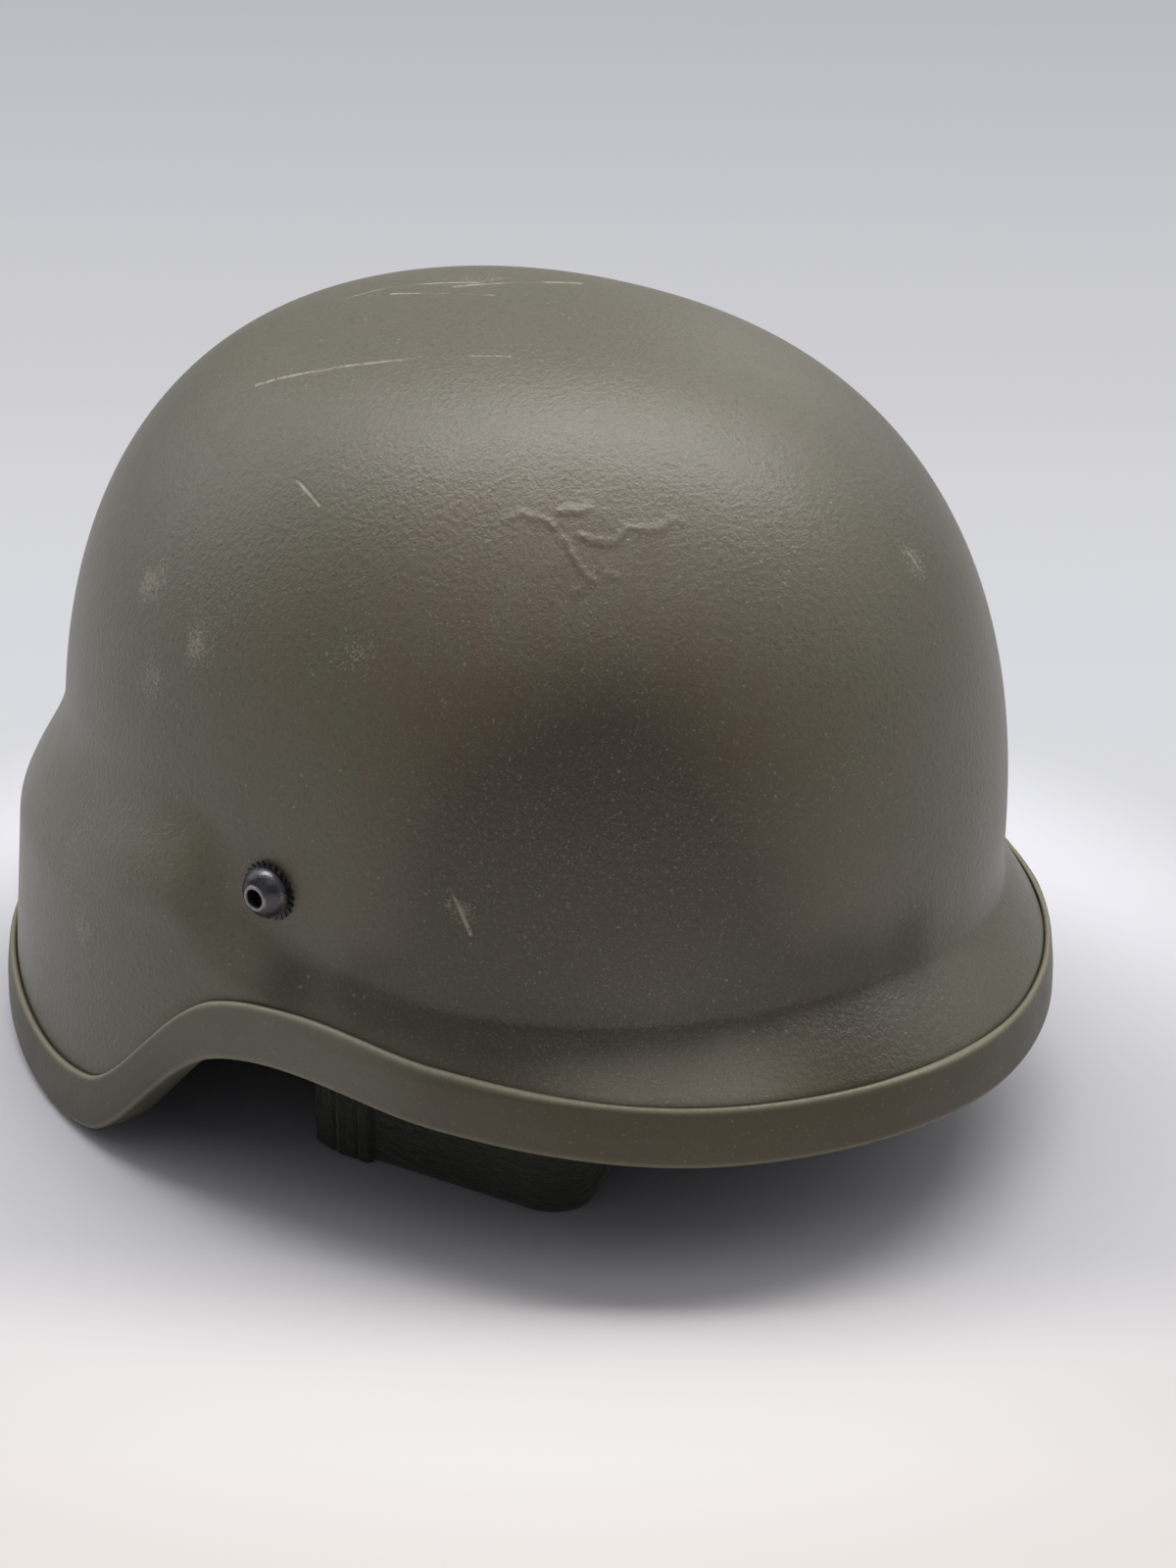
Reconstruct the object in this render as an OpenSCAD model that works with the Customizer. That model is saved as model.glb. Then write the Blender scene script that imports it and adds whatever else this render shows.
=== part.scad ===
/* [Shell] */
// Half width of the dome at its foot, outside
half_w = 110.5; // [104:0.5:118]
// Length of the dome's foot in front of its centre
front_len = 130; // [124:0.5:138]
// Length of the dome's foot behind its centre
back_len = 134; // [128:0.5:142]
// Squareness of the plan outline, where 2 is an ellipse
plan_n = 2; // [2:0.05:2.3]
// Height of the dome's foot above the lowest rim
foot_z = 62.5; // [58:0.5:67]
// Height of the crown above the dome's foot
dome_h = 130; // [120:1:142]
// Mean squareness of the dome's side view, where 2 is an ellipse
dome_n = 2.42; // [2.2:0.02:2.6]
// How much squarer the dome is at front and back than at the sides
dome_n_vary = 0.1; // [0:0.02:0.2]
// How far the wall leans out for each millimetre below the foot
splay = 0.09; // [0.04:0.01:0.12]
// Thickness of the composite wall
wall_t = 8.5; // [7:0.25:9.5]

/* [Rim line] */
// Height of the rim at the centre of the brow
rim_front = 29.5; // [24:0.5:34]
// Height of the rim beside the brow
rim_brow = 32.5; // [28:0.5:36]
// Height of the rim at the top of the temple notch
rim_notch = 36; // [32:0.5:40]
// Angle from the front to the top of the temple notch
notch_angle = 77; // [73:0.5:80]
// Angle from the front to the bottom of the ear lobe
lobe_angle = 98.5; // [95:0.5:104]
// Height of the rim between the ear lobe and the nape
rim_back = 3; // [1:0.5:6]

/* [Visor and ear bulge] */
// Height of the visor's crease at the front
crease_front = 60; // [57:0.5:63]
// Height of the bulge's crease over the ear
crease_ear = 92.5; // [88:0.5:96]
// Height of the bulge's crease at the nape
crease_nape = 76; // [72:0.5:80]
// How far the visor stands out at the front
visor_out = 14.5; // [11:0.5:17]
// How far the wall stands out at the temple
temple_out = 5; // [3:0.5:7]
// How far the bulge stands out behind the ear
bulge_out = 12.5; // [10:0.5:15]
// Height over which the visor runs out at the front
visor_run = 16; // [14:0.5:19]
// Height over which the ear bulge runs out
bulge_run = 34; // [29:0.5:38]

/* [Edge trim] */
// Height of the trim's outer face
trim_h = 15; // [13:0.5:17]
// Thickness of the trim's outer face
trim_t = 2; // [1.6:0.1:2.6]
// Thickness of the trim under the shell's edge
trim_floor = 2; // [1.6:0.1:2.6]

/* [Fasteners] */
// Angle from the front to the side bolts
bolt_angle = 72.1; // [69:0.5:76]
// Height of the side bolts
bolt_z = 78; // [75:0.5:82]
// Height of the rear bolt
rear_bolt_z = 92; // [89:0.5:96]
// Diameter of the sleeve nut's domed head
nut_head_d = 13; // [11:0.5:14]
// Height of the sleeve nut's domed head
nut_head_h = 4.8; // [4:0.1:5.6]
// Diameter of the sleeve nut's shank
nut_shank_d = 7.8; // [7:0.1:8.4]
// Diameter of the open socket in the sleeve nut
socket_d = 4.2; // [3.8:0.1:4.6]
// Depth of the open socket from the shell's face
socket_depth = 6; // [5:0.25:6.5]
// Diameter of the liner screw's shank
screw_d = 3.4; // [3:0.1:3.6]
// Diameter of the toothed washer
washer_d = 17; // [15:0.5:18]
// Thickness of the toothed washer
washer_t = 0.9; // [0.7:0.1:1.2]
// Number of teeth on the washer
washer_teeth = 16; // [12:1:20]

/* [Liner ring] */
// Depth of the ring's outer face below the shell's outer face at the bolts
ring_depth = 15; // [14.5:0.25:17]
// Length of the ring in front of the dome's centre
ring_front = 108; // [104:1:112]
// Height of the ring
ring_h = 22; // [18:1:24]
// Thickness of the ring
ring_t = 2.2; // [1.8:0.1:2.8]
// Thickness of the steel plates
plate_t = 1.6; // [1.2:0.1:1.8]

/* [Crown cradle] */
// Width of the crown straps
crown_w = 20; // [16:1:20]
// Thickness of the crown and size straps
crown_t = 1.4; // [1.1:0.1:1.5]
// Room between the crown disc and the shell
crown_room = 12.8; // [10:0.2:18]
// Thickness of the crown disc
disc_t = 2.6; // [1.8:0.1:3.2]
// Radius of the crown disc
crown_r = 32; // [29:0.5:34]
// Thickness of the crown pad
crown_pad_t = 10; // [8:0.5:12]

/* [Headband] */
// Half width of the front headband at its ends
band_half_w = 83.3; // [82.5:0.1:84]
// How far the front headband reaches ahead of the dome's centre
band_reach = 90; // [88:0.5:91]
// Height of the headband's upper edge at the front
band_top = 53; // [52.6:0.1:53.6]
// Thickness of the headband
band_t = 6.5; // [5:0.25:7]
// How far the lower edge lifts over the brow
brow_lift = 16; // [12:1:20]
// Height of the rear headband's lower edge
rear_low = 31; // [30.5:0.25:32]
// Height of the rear headband's upper edge
rear_top = 70; // [67:1:71]
// How far the rear headband reaches behind the dome's centre
rear_reach = 111; // [106:0.5:112]
// Travel of the rear headband between the largest and smallest head
size_travel = 15; // [10:1:16]
// Height of the size strap
size_strap_h = 12; // [10:0.5:12]

/* [Chin strap] */
// Distance of the strap hinge below the side bolts
hinge_drop = 21; // [20.5:0.25:22]
// Half width between the two arms of the chin strap
arm_x = 97; // [96.6:0.1:97.2]
// Room between the stowed chin strap and the nape
strap_room = 3; // [2:0.5:8]
// Width of the webbing
web_w = 16; // [14:0.5:16]
// Thickness of the webbing
web_t = 1.8; // [1.4:0.1:1.8]
// Diameter of the hinge rivet
rivet_d = 6; // [5:0.25:6.5]
// Height of the chin cup
cup_h = 26; // [22:0.5:26]
// Width of the buckle
buckle_w = 22; // [20:0.5:22]
// Travel of the buckle's plug
plug_travel = 11; // [11:0.5:12]

/* [Hidden] */

OLIVE = "#5d5b4b";
TRIM_OLIVE = "#55543f";
GUNMETAL = "#2c2e33";
STEEL = "#6b6e70";
BLACK = "#26272a";
WEB = "#3f4335";
SUEDE = "#33352b";
FOAM = "#2a2b28";

gap = 0.3;
fit = 0.05;
FULL = 64;
steps = 80;
dome_rows = 11;
side_rows = 10;
low_bias = 0.8;
steep = 76;

function side_of(a) = a > 180 ? 360 - a : a;
function ease(t) = let (u = min(1, max(0, t))) u * u * (3 - 2 * u);
function incline(s, v, i) =
    i == 0 || i == len(s) - 1 ? 0 : (v[i + 1] - v[i - 1]) / (s[i + 1] - s[i - 1]);
function span(s, p, i = 0) = i >= len(s) - 2 || p <= s[i + 1] ? i : span(s, p, i + 1);
function along(p, s, v) =
    let (i = span(s, p), h = s[i + 1] - s[i], t = (p - s[i]) / h,
        t2 = t * t, t3 = t2 * t)
    v[i] * (1 - 3 * t2 + 2 * t3) + v[i + 1] * (3 * t2 - 2 * t3)
    + h * incline(s, v, i) * (t - 2 * t2 + t3)
    + h * incline(s, v, i + 1) * (t3 - t2);

rim_at = [0, 25, 50, notch_angle, lobe_angle, 140, 180];
rim_z = [rim_front, rim_front - 1, rim_brow, rim_notch, 0, rim_back, 0];
crease_at = [0, 35, 55, 67, 85, 110, 140, 180];
crease_z = [crease_front, crease_front - 2.5, crease_front + 0.5, crease_front + 8.5,
    crease_ear, crease_ear - 3, crease_ear - 6.5, crease_nape];
out_at = [0, 20, 40, 60, 85, 110, 140, 180];
out_r = [visor_out, visor_out - 3.5, visor_out - 6.5, temple_out, bulge_out - 3,
    bulge_out - 1.5, bulge_out, bulge_out - 0.5];
run_at = [0, 40, 65, 110, 180];
run_h = [visor_run, visor_run - 3, visor_run + 2, bulge_run, bulge_run - 7];

// Everything is raised so that the lowest point of the rim stands on the floor
lift = -min([for (i = [0 : steps / 2]) along(360 * i / steps, rim_at, rim_z)]);
foot_up = foot_z + lift;
bolt_up = bolt_z + lift;
rear_up = rear_bolt_z + lift;
function rim(a) = along(side_of(a), rim_at, rim_z) + lift;
function oval(a, w, f, b, n) =
    let (c = cos(a), l = c > 0 ? f : b)
    pow(pow(abs(sin(a)) / w, n) + pow(abs(c) / l, n), -1 / n);
function foot(a, cut) = oval(a, half_w - cut, front_len - cut, back_len - cut, plan_n);
function square_at(a) = dome_n + dome_n_vary * cos(2 * a);
function dome_r(a, z, cut) =
    let (m = square_at(a), u = max(0, (z - foot_up) / (dome_h - cut)))
    z > foot_up ? foot(a, cut) * pow(1 - pow(u, m), 1 / m)
        : foot(a, cut) + (foot_up - z) * splay;

// The flare dies out round each side bolt, which sits on the plain dome
seat_r = washer_d / 2 + 0.7;
seat_run = 20;
bolt_r = dome_r(bolt_angle, bolt_up, 0);
function off_seat(a, z) =
    let (d = norm([bolt_r * (side_of(a) - bolt_angle) * PI / 180, z - bolt_up]))
    ease((d - seat_r / 2) / seat_run);
// The visor leaves the dome at a sharp crease, the bulge over the ear in a soft wave
shelf_fillet = 0.12;
function shelf(t) =
    let (u = min(1, max(0, t)), s = u * u * (1 + shelf_fillet) / (u + shelf_fillet))
    s * (1.2 - 0.2 * s);
function flare(a, z) =
    let (p = side_of(a), soft = ease((p - 50) / 25),
        t = (along(p, crease_at, crease_z) + lift - z) / along(p, run_at, run_h))
    along(p, out_at, out_r) * (shelf(t) * (1 - soft) + ease(t) * soft) * off_seat(a, z);
function skin_r(a, z, cut) = dome_r(a, z, cut) + flare(a, z);
function polar(a, r, z) = [r * sin(a), dome_y - r * cos(a), z];

trim_inner = (trim_h + trim_floor) * 0.6;
trim_bulge = 0.3;
bulge_at = trim_h * 0.55;
trim_rows = [trim_inner, bulge_at, trim_floor + fit * 2];
dome_y = (skin_r(0, rim(0) + bulge_at, 0) - skin_r(180, rim(180) + bulge_at, 0)) / 2;

function steep_z(a, cut) = foot_up + (dome_h - cut) * pow(cos(steep), 2 / square_at(a));
function row_point(a, k, cut) =
    let (m = square_at(a), tau = steep * k / dome_rows,
        top = steep_z(a, cut), low = rim(a) + trim_h, j = k - dome_rows,
        z = k <= dome_rows ? foot_up + (dome_h - cut) * pow(cos(tau), 2 / m)
            : j <= side_rows ? top + (low - top) * pow(j / side_rows, low_bias)
            : rim(a) + trim_rows[j - side_rows - 1],
        r = k < dome_rows ? foot(a, cut) * pow(sin(tau), 2 / m) + flare(a, z)
            : skin_r(a, z, cut))
    polar(a, r, z);

// Joins rings of equal length into the side faces of a solid
function quads(rings, n, first) =
    [for (i = [0 : rings - 2], j = [0 : n - 1])
        let (p = first + i * n + j, q = first + i * n + (j + 1) % n)
        each [[p, q, q + n], [p, q + n, p + n]]];

module shell_body() {
    rows = dome_rows + side_rows + len(trim_rows);
    outer = [for (k = [1 : rows], i = [0 : steps - 1]) row_point(360 * i / steps, k, 0)];
    inner = [for (k = [rows : -1 : 1], i = [0 : steps - 1])
        row_point(360 * i / steps, k, wall_t)];
    last = 1 + 2 * rows * steps;
    points = concat([polar(0, 0, foot_up + dome_h)], outer, inner,
        [polar(0, 0, foot_up + dome_h - wall_t)]);
    caps = [for (j = [0 : steps - 1]) let (k = (j + 1) % steps)
        each [[0, 1 + k, 1 + j], [last, last - steps + j, last - steps + k]]];
    polyhedron(points, concat(caps, quads(2 * rows, steps, 1)));
}

bolt_x = bolt_r * sin(bolt_angle);
bolt_y = dome_y - bolt_r * cos(bolt_angle);
bolt_yaw = atan2(pow((dome_y - bolt_y) / front_len, plan_n - 1) / front_len,
    pow(bolt_x / half_w, plan_n - 1) / half_w);
rear_y = dome_y + dome_r(180, rear_up, 0);
liner_tilt = atan2(rear_up - bolt_up, rear_y - bolt_y);
rear_run = norm([rear_up - bolt_up, rear_y - bolt_y]);
centre_run = (dome_y - bolt_y) / cos(liner_tilt);

// The liner's own frame: level with the three bolts, centred between the side bolts
module in_liner() translate([0, bolt_y, bolt_up]) rotate([liner_tilt, 0, 0]) children();
function liner_pt(x, y, z) = [x, bolt_y + y * cos(liner_tilt) - z * sin(liner_tilt),
    bolt_up + y * sin(liner_tilt) + z * cos(liner_tilt)];
// A bolt's frame: z points out of the shell, z = 0 on the shell's outer face
module at_bolt(place) in_liner()
    translate(place == 0 ? [0, rear_run, 0] : [place * bolt_x, 0, 0])
    rotate([0, 90, place == 0 ? 90 : place > 0 ? -bolt_yaw : 180 + bolt_yaw])
    children();
module on_side(side) if (side > 0) children(); else mirror([1, 0, 0]) children();
module across(x, y, z) translate([x, y, z]) rotate([0, 90, 0]) children();

shank_hole_r = nut_shank_d / 2 + 0.2;
module shell() color(OLIVE) difference() {
    shell_body();
    for (place = [-1, 0, 1]) at_bolt(place) {
        cylinder(h = 4 * wall_t, r = shank_hole_r, center = true, $fn = FULL);
        cylinder(h = wall_t, r = seat_r, $fn = FULL);
        translate([0, 0, -2 * wall_t - 0.1]) cylinder(h = wall_t, r = seat_r, $fn = FULL);
    }
}

trim_lip = 1.3;
trim_play = 0.15;
inner_play = 0.25;
trim_profile = [
    [trim_play, trim_h], [trim_t * 0.55, trim_h], [trim_t, trim_h - trim_lip],
    [trim_t + trim_bulge, bulge_at], [trim_t, 2.4], [trim_t * 0.4, 0.5],
    [-wall_t * 0.3, 0], [-wall_t * 0.7, 0], [-wall_t - trim_t * 0.5, 0.6],
    [-wall_t - trim_t, 2.6], [-wall_t - trim_t, trim_inner - trim_lip],
    [-wall_t - inner_play, trim_inner], [-wall_t - inner_play, bulge_at],
    [-wall_t - inner_play, trim_floor - trim_play], [trim_play, trim_floor - trim_play],
    [trim_play, bulge_at], [trim_play, trim_inner]];
module edge_trim() color(TRIM_OLIVE) {
    n = len(trim_profile);
    points = [for (i = [0 : steps - 1], p = trim_profile)
        let (a = 360 * i / steps, z = rim(a) + p[1])
        polar(a, skin_r(a, z, 0) + p[0], z)];
    faces = [for (i = [0 : steps - 1], j = [0 : n - 1])
        let (k = (i + 1) % steps, l = (j + 1) % n,
            p = i * n + j, q = i * n + l, r = k * n + l, s = k * n + j)
        each [[p, s, q], [q, s, r]]];
    polyhedron(points, faces);
}

nut_len = ring_depth - 1.6;
thread_r = screw_d / 2 + fit;
head_t = 2.2;
bush_start = wall_t + 0.2;
bracket_start = ring_depth - 2.6;
boss_start = bracket_start + plate_t + 0.1;
boss_end = ring_depth + ring_t + 0.8;
module sleeve_nut(place) color(GUNMETAL) at_bolt(place) {
    r = nut_head_d / 2;
    base = washer_t + 0.8;
    dome = [for (t = [0 : 10 : 60]) [r * cos(t), base + (nut_head_h - 0.8) / sin(60) * sin(t)]];
    rotate_extrude($fn = FULL)
        polygon(concat([[nut_shank_d / 2, -nut_len], [nut_shank_d / 2, washer_t], [r, washer_t]],
            dome, [[socket_d / 2 + 0.5, washer_t + nut_head_h],
                [socket_d / 2, washer_t + nut_head_h - 0.5], [socket_d / 2, -socket_depth],
                [thread_r, -socket_depth - 0.4], [thread_r, -nut_len]]));
}
module lock_washer(place) color(GUNMETAL) at_bolt(place) difference() {
    linear_extrude(washer_t) polygon([for (i = [0 : washer_teeth - 1], e = [[0, 0], [0.5, 0],
        [0.6, 1], [0.9, 1]]) let (a = 360 * (i + e[0]) / washer_teeth,
        r = washer_d / 2 - 1.8 * e[1]) [r * cos(a), r * sin(a)]]);
    translate([0, 0, -1]) cylinder(h = 3, r = shank_hole_r, $fn = FULL);
}
module spacer_bush(place) color(BLACK) at_bolt(place) difference() {
    end = place == 0 ? boss_start - 0.1 : bracket_start - 0.1;
    translate([0, 0, -end]) cylinder(h = end - bush_start, r = 7.5, $fn = FULL);
    translate([0, 0, -end - 1]) cylinder(h = end, r = shank_hole_r, $fn = FULL);
}
module liner_screw(place) color(STEEL) at_bolt(place) difference() {
    union() {
        translate([0, 0, -boss_end - 0.1 - head_t]) cylinder(h = head_t, r = 5.5, $fn = FULL);
        translate([0, 0, -boss_end - 0.2]) cylinder(h = boss_end - socket_depth - 1.2,
            r = screw_d / 2, $fn = FULL);
    }
    for (t = [0, 90]) rotate(t) translate([-3.2, -0.6, -boss_end - head_t - 1])
        cube([6.4, 1.2, 2.1]);
}

ring_x = bolt_x - ring_depth * cos(bolt_yaw);
ring_y = centre_run - ring_depth * sin(bolt_yaw);
ring_half_w = ring_x / sqrt(1 - pow(ring_y / ring_front, 2));
ring_back = rear_run - ring_depth - centre_run;
function ring_r(a, cut) = oval(a, ring_half_w - cut, ring_front - cut, ring_back - cut, 2);
function round_plan(cut) = [for (a = [0 : 5 : 355])
    [ring_r(a, cut) * sin(a), centre_run - ring_r(a, cut) * cos(a)]];

// The rear headband slides on two studs in the ring, one on each side
slot_r = 2.4;
hang_y = dome_y + 18;
hang_z = bolt_up + (hang_y - bolt_y) * tan(liner_tilt);
hang_run = (hang_y - bolt_y) / cos(liner_tilt) - centre_run;
hang_x = ring_half_w * sqrt(1 - pow((hang_run + 4) / ring_back, 2));
module liner_ring() color(BLACK) difference() {
    union() {
        in_liner() translate([0, 0, -ring_h / 2]) linear_extrude(ring_h) difference() {
            polygon(round_plan(0));
            polygon(round_plan(ring_t));
        }
        for (place = [-1, 0, 1]) at_bolt(place) translate([0, 0, -boss_end])
            cylinder(h = boss_end - boss_start, r = 8.5, $fn = FULL);
    }
    for (place = [-1, 0, 1]) at_bolt(place) translate([0, 0, -boss_end - 1])
        cylinder(h = ring_depth, r = screw_d / 2 + 0.4, $fn = FULL);
    for (side = [-1, 1]) on_side(side) across(hang_x - 8, hang_y, hang_z)
        cylinder(h = 16, r = slot_r + fit, $fn = FULL);
}

// The strap hinge lies below the bolts, on one line across the helmet
hinge_y = bolt_y + hinge_drop * sin(liner_tilt);
hinge_z = bolt_up - hinge_drop * cos(liner_tilt);
lug_x = arm_x - 2.7;
lug_r = 9;
plate_x = arm_x - 5.8;
plate_top = hinge_z + 6;
rivet_head_r = 4.5;
neck_w = 14;
neck_cut = 0.4;
module bolt_tongue(start, l, cut = 0) in_liner() translate([bolt_x, 0, 0])
    rotate([0, 90, -bolt_yaw])
    translate([start, cut - neck_w / 2, cut / 2 - bracket_start - plate_t])
    cube([l, neck_w - 2 * cut, plate_t - cut]);
module hanger_bracket(side) color(STEEL) difference() {
    union() {
        at_bolt(side) translate([0, 0, -bracket_start - plate_t])
            cylinder(h = plate_t, r = lug_r, $fn = FULL);
        on_side(side) across(lug_x, hinge_y, hinge_z)
            cylinder(h = plate_t, r = lug_r - 1, $fn = FULL);
        on_side(side) translate([lug_x, hinge_y - neck_w / 2, hinge_z])
            cube([plate_t, neck_w, 6]);
        on_side(side) bolt_tongue(0, 9.5);
        on_side(side) hull() {
            translate([lug_x + neck_cut / 2, hinge_y - neck_w / 2 + neck_cut, hinge_z + 4.4])
                cube([plate_t - neck_cut, neck_w - 2 * neck_cut, 1]);
            bolt_tongue(7.9, 1, neck_cut);
        }
    }
    at_bolt(side) translate([0, 0, -ring_depth - plate_t])
        cylinder(h = ring_depth, r = shank_hole_r, $fn = FULL);
    on_side(side) across(lug_x - 5, hinge_y, hinge_z)
        cylinder(h = 12, r = rivet_d / 2 + fit, $fn = FULL);
}

stud_y = hinge_y + 1.6;
stud_z = band_top - 4.5;
stud_r = 2.5;
stud_head_r = 3.4;
loop_y = stud_y - 5;
loop_w = 6;
loop_wall = 1.1;
strap_low = rear_low + 0.5;
strap_top = strap_low + size_strap_h;
module temple_plate(side) color(BLACK) on_side(side) difference() {
    union() {
        translate([plate_x, stud_y - 10, strap_top + 1])
            cube([crown_t, 18, plate_top - strap_top - 1]);
        translate([plate_x - loop_wall, loop_y, strap_low - 1.5])
            cube([crown_t + 2 * loop_wall, loop_w, size_strap_h + 3]);
    }
    translate([plate_x - gap, loop_y - 1, strap_low - gap])
        cube([crown_t + 2 * gap, loop_w + 2, size_strap_h + 2 * gap]);
    across(plate_x - 3, hinge_y, hinge_z) cylinder(h = 9, r = rivet_d / 2 + fit, $fn = FULL);
    across(plate_x - 3, stud_y, stud_z) cylinder(h = 9, r = stud_r + fit, $fn = FULL);
}
module hinge_rivet(side) color(STEEL) on_side(side) {
    across(plate_x - 1.1, hinge_y, hinge_z) cylinder(h = 1, r = rivet_head_r, $fn = FULL);
    across(plate_x - 0.2, hinge_y, hinge_z)
        cylinder(h = arm_x + plate_t / 2 - plate_x + 0.5, r = rivet_d / 2, $fn = FULL);
    across(plate_x + crown_t + 0.1, hinge_y, hinge_z)
        cylinder(h = lug_x - plate_x - crown_t - 0.2, r = rivet_head_r, $fn = FULL);
    across(arm_x + plate_t / 2 + 0.2, hinge_y, hinge_z)
        cylinder(h = 1.1, r = rivet_head_r, $fn = FULL);
}

crown_end = 18.5;
crown_rise = (foot_up + dome_h - wall_t - bolt_up - centre_run * sin(liner_tilt))
    / cos(liner_tilt) - fit - disc_t - crown_room;
function foot_swing(a) =
    let (l = cos(a) > 0 ? ring_front : ring_back)
    abs(a) == 90 ? 0 : abs(atan(tan(a) * pow(l / ring_half_w, 2)) - atan(tan(a)));
module crown_strap(i) color(WEB) {
    a = 60 * i - 30;
    r0 = ring_r(a, ring_t) - crown_w / 2 * tan(foot_swing(a % 180 == 90 ? 90 : a))
        - pow(crown_w / 2, 2) / (2 * 80) - gap;
    top = ring_h / 2;
    rise = [for (t = [0 : 9 : 90]) [crown_r - 2 + (r0 - crown_r + 2) * cos(t),
        top + (crown_rise - top) * sin(t)]];
    path = concat([[r0, -ring_h / 2 + 2]], rise, [[crown_end, crown_rise]]);
    n = len(path);
    inside = [for (k = [n - 1 : -1 : 0])
        let (p = path[max(0, k - 1)], q = path[min(n - 1, k + 1)], d = (q - p) / norm(q - p))
        path[k] + crown_t * [-d[1], d[0]]];
    in_liner() translate([0, centre_run, 0]) rotate(a - 90) rotate([90, 0, 0])
        translate([0, 0, -crown_w / 2]) linear_extrude(crown_w)
        polygon(concat(path, inside));
}
module crown_disc() color(SUEDE) in_liner() translate([0, centre_run, crown_rise + fit])
    difference() {
        cylinder(h = disc_t, r = crown_r, $fn = FULL);
        translate([0, 0, -1]) cylinder(h = 5, r = 12, $fn = FULL);
    }
module crown_pad() color(FOAM) in_liner()
    translate([0, centre_run, crown_rise - crown_t - gap]) rotate_extrude($fn = FULL)
    polygon([[0, -crown_pad_t * 0.75], [6, -crown_pad_t * 0.8], [14, -crown_pad_t],
        [22, -crown_pad_t * 0.9], [27, -crown_pad_t * 0.6], [28.5, -crown_pad_t * 0.35],
        [27, -0.8], [24, 0], [0, 0]]);

// The front headband's outer line: straight slanted sides, round corners, a bowed front
band_end_y = stud_y + 12.6;
end_len = 8.6;
turn_y = band_end_y - end_len;
side_lean = 18.5;
corner_r = 12;
corner_front = 80.9;
corner_y = dome_y - band_reach + 16.7;
lean_y = corner_y - corner_r * sin(side_lean);
corner_x = band_half_w - (turn_y - lean_y) * tan(side_lean) - corner_r * cos(side_lean);
bow_r = (corner_x + corner_r * cos(corner_front)) / cos(corner_front);
bow_y = corner_y - corner_r * sin(corner_front) + bow_r * sin(corner_front);
function corner_pt(t) = [corner_x + corner_r * cos(t), corner_y - corner_r * sin(t),
    cos(t), -sin(t)];
function side_pt(d) = [band_half_w - d * sin(side_lean), turn_y - d * cos(side_lean),
    cos(side_lean), -sin(side_lean)];
side_len = (turn_y - lean_y) / cos(side_lean);
half_line = concat(
    [[band_half_w, band_end_y, 1, 0], [band_half_w, turn_y + 1.5, 1, 0]],
    [for (k = [0.2, 1, 2, 3, 4, 5]) side_pt(side_len * k / 6)],
    [for (k = [0 : 6]) corner_pt(side_lean + (corner_front - side_lean) * k / 6)],
    [for (k = [1 : 5]) let (t = corner_front + (90 - corner_front) * k / 6)
        [bow_r * cos(t), bow_y - bow_r * sin(t), cos(t), -sin(t)]]);
function flip(line) = [for (k = [len(line) - 1 : -1 : 0])
    [-line[k][0], line[k][1], -line[k][2], line[k][3]]];
front_line = concat(half_line, [[0, bow_y - bow_r, 0, -1]], flip(half_line));
function brow(x) = brow_lift * ease((57 - abs(x)) / 18);

// A padded section: flat outside, crowned inside
function pad_ring(st, low, top, t) =
    let (h = top - low)
    [for (p = [[-0.9, 0], [0, 0.05], [0, 0.5], [0, 0.95], [-0.9, 1], [-t + 2, 1],
        [-t + 0.6, 0.9], [-t, 0.5], [-t + 0.6, 0.1], [-t + 2, 0]])
        [st[0] + p[0] * st[2], st[1] + p[0] * st[3], low + p[1] * h]];
// Ends are closed by a fan of triangles from the section's point number hub
module swept(rings, hub) {
    n = len(rings[0]);
    m = len(rings);
    fan = [for (k = [1 : n - 2]) [hub, (hub + k + 1) % n, (hub + k) % n]];
    ends = concat(fan, [for (f = fan) [for (j = [2 : -1 : 0]) (m - 1) * n + f[j]]]);
    polyhedron([for (r = rings) each r], concat(ends, quads(m, n, 0)));
}
bore_deep = 2.8;
module front_headband() color(SUEDE) difference() {
    swept([for (st = front_line) pad_ring(st, brow(st[0]), band_top, band_t)], 2);
    for (side = [-1, 1]) on_side(side) across(stud_face - bore_deep, stud_y, stud_z)
        cylinder(h = 12, r = stud_r + fit, $fn = FULL);
}
tab_t = 1.3;
tab_w = 18.5;
// Outline of the sewn tab: distance from the band's end and share of its thickness
tab_steps = [[0, 0.5], [0.6, 1], [7.2, 1], [7.9, 0.45], [8.6, 0.7], [9.2, 1], [13.8, 1],
    [14.4, 0.5], [14.9, 1.25], [17.6, 1.25], [18.2, 0.4]];
stud_face = band_half_w - (turn_y - stud_y) * tan(side_lean);
tab_face = stud_face + (1.25 * tab_t + stud_head_r * sin(side_lean)) / cos(side_lean);
function tab_pt(d, out) =
    d < end_len ? [band_half_w + out, band_end_y - d]
        : [side_pt(d - end_len)[0] + out * cos(side_lean),
            side_pt(d - end_len)[1] - out * sin(side_lean)];
module headband_tab(side) color(SUEDE) on_side(side) difference() {
    translate([0, 0, 0.6]) linear_extrude(band_top - 1.6) polygon(concat(
        [for (e = tab_steps) tab_pt(e[0], tab_t * e[1])],
        [tab_pt(tab_w, fit), tab_pt(end_len, fit), tab_pt(0, fit)]));
    across(stud_face - 2, stud_y, stud_z) cylinder(h = 12, r = stud_r + fit, $fn = FULL);
}
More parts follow.
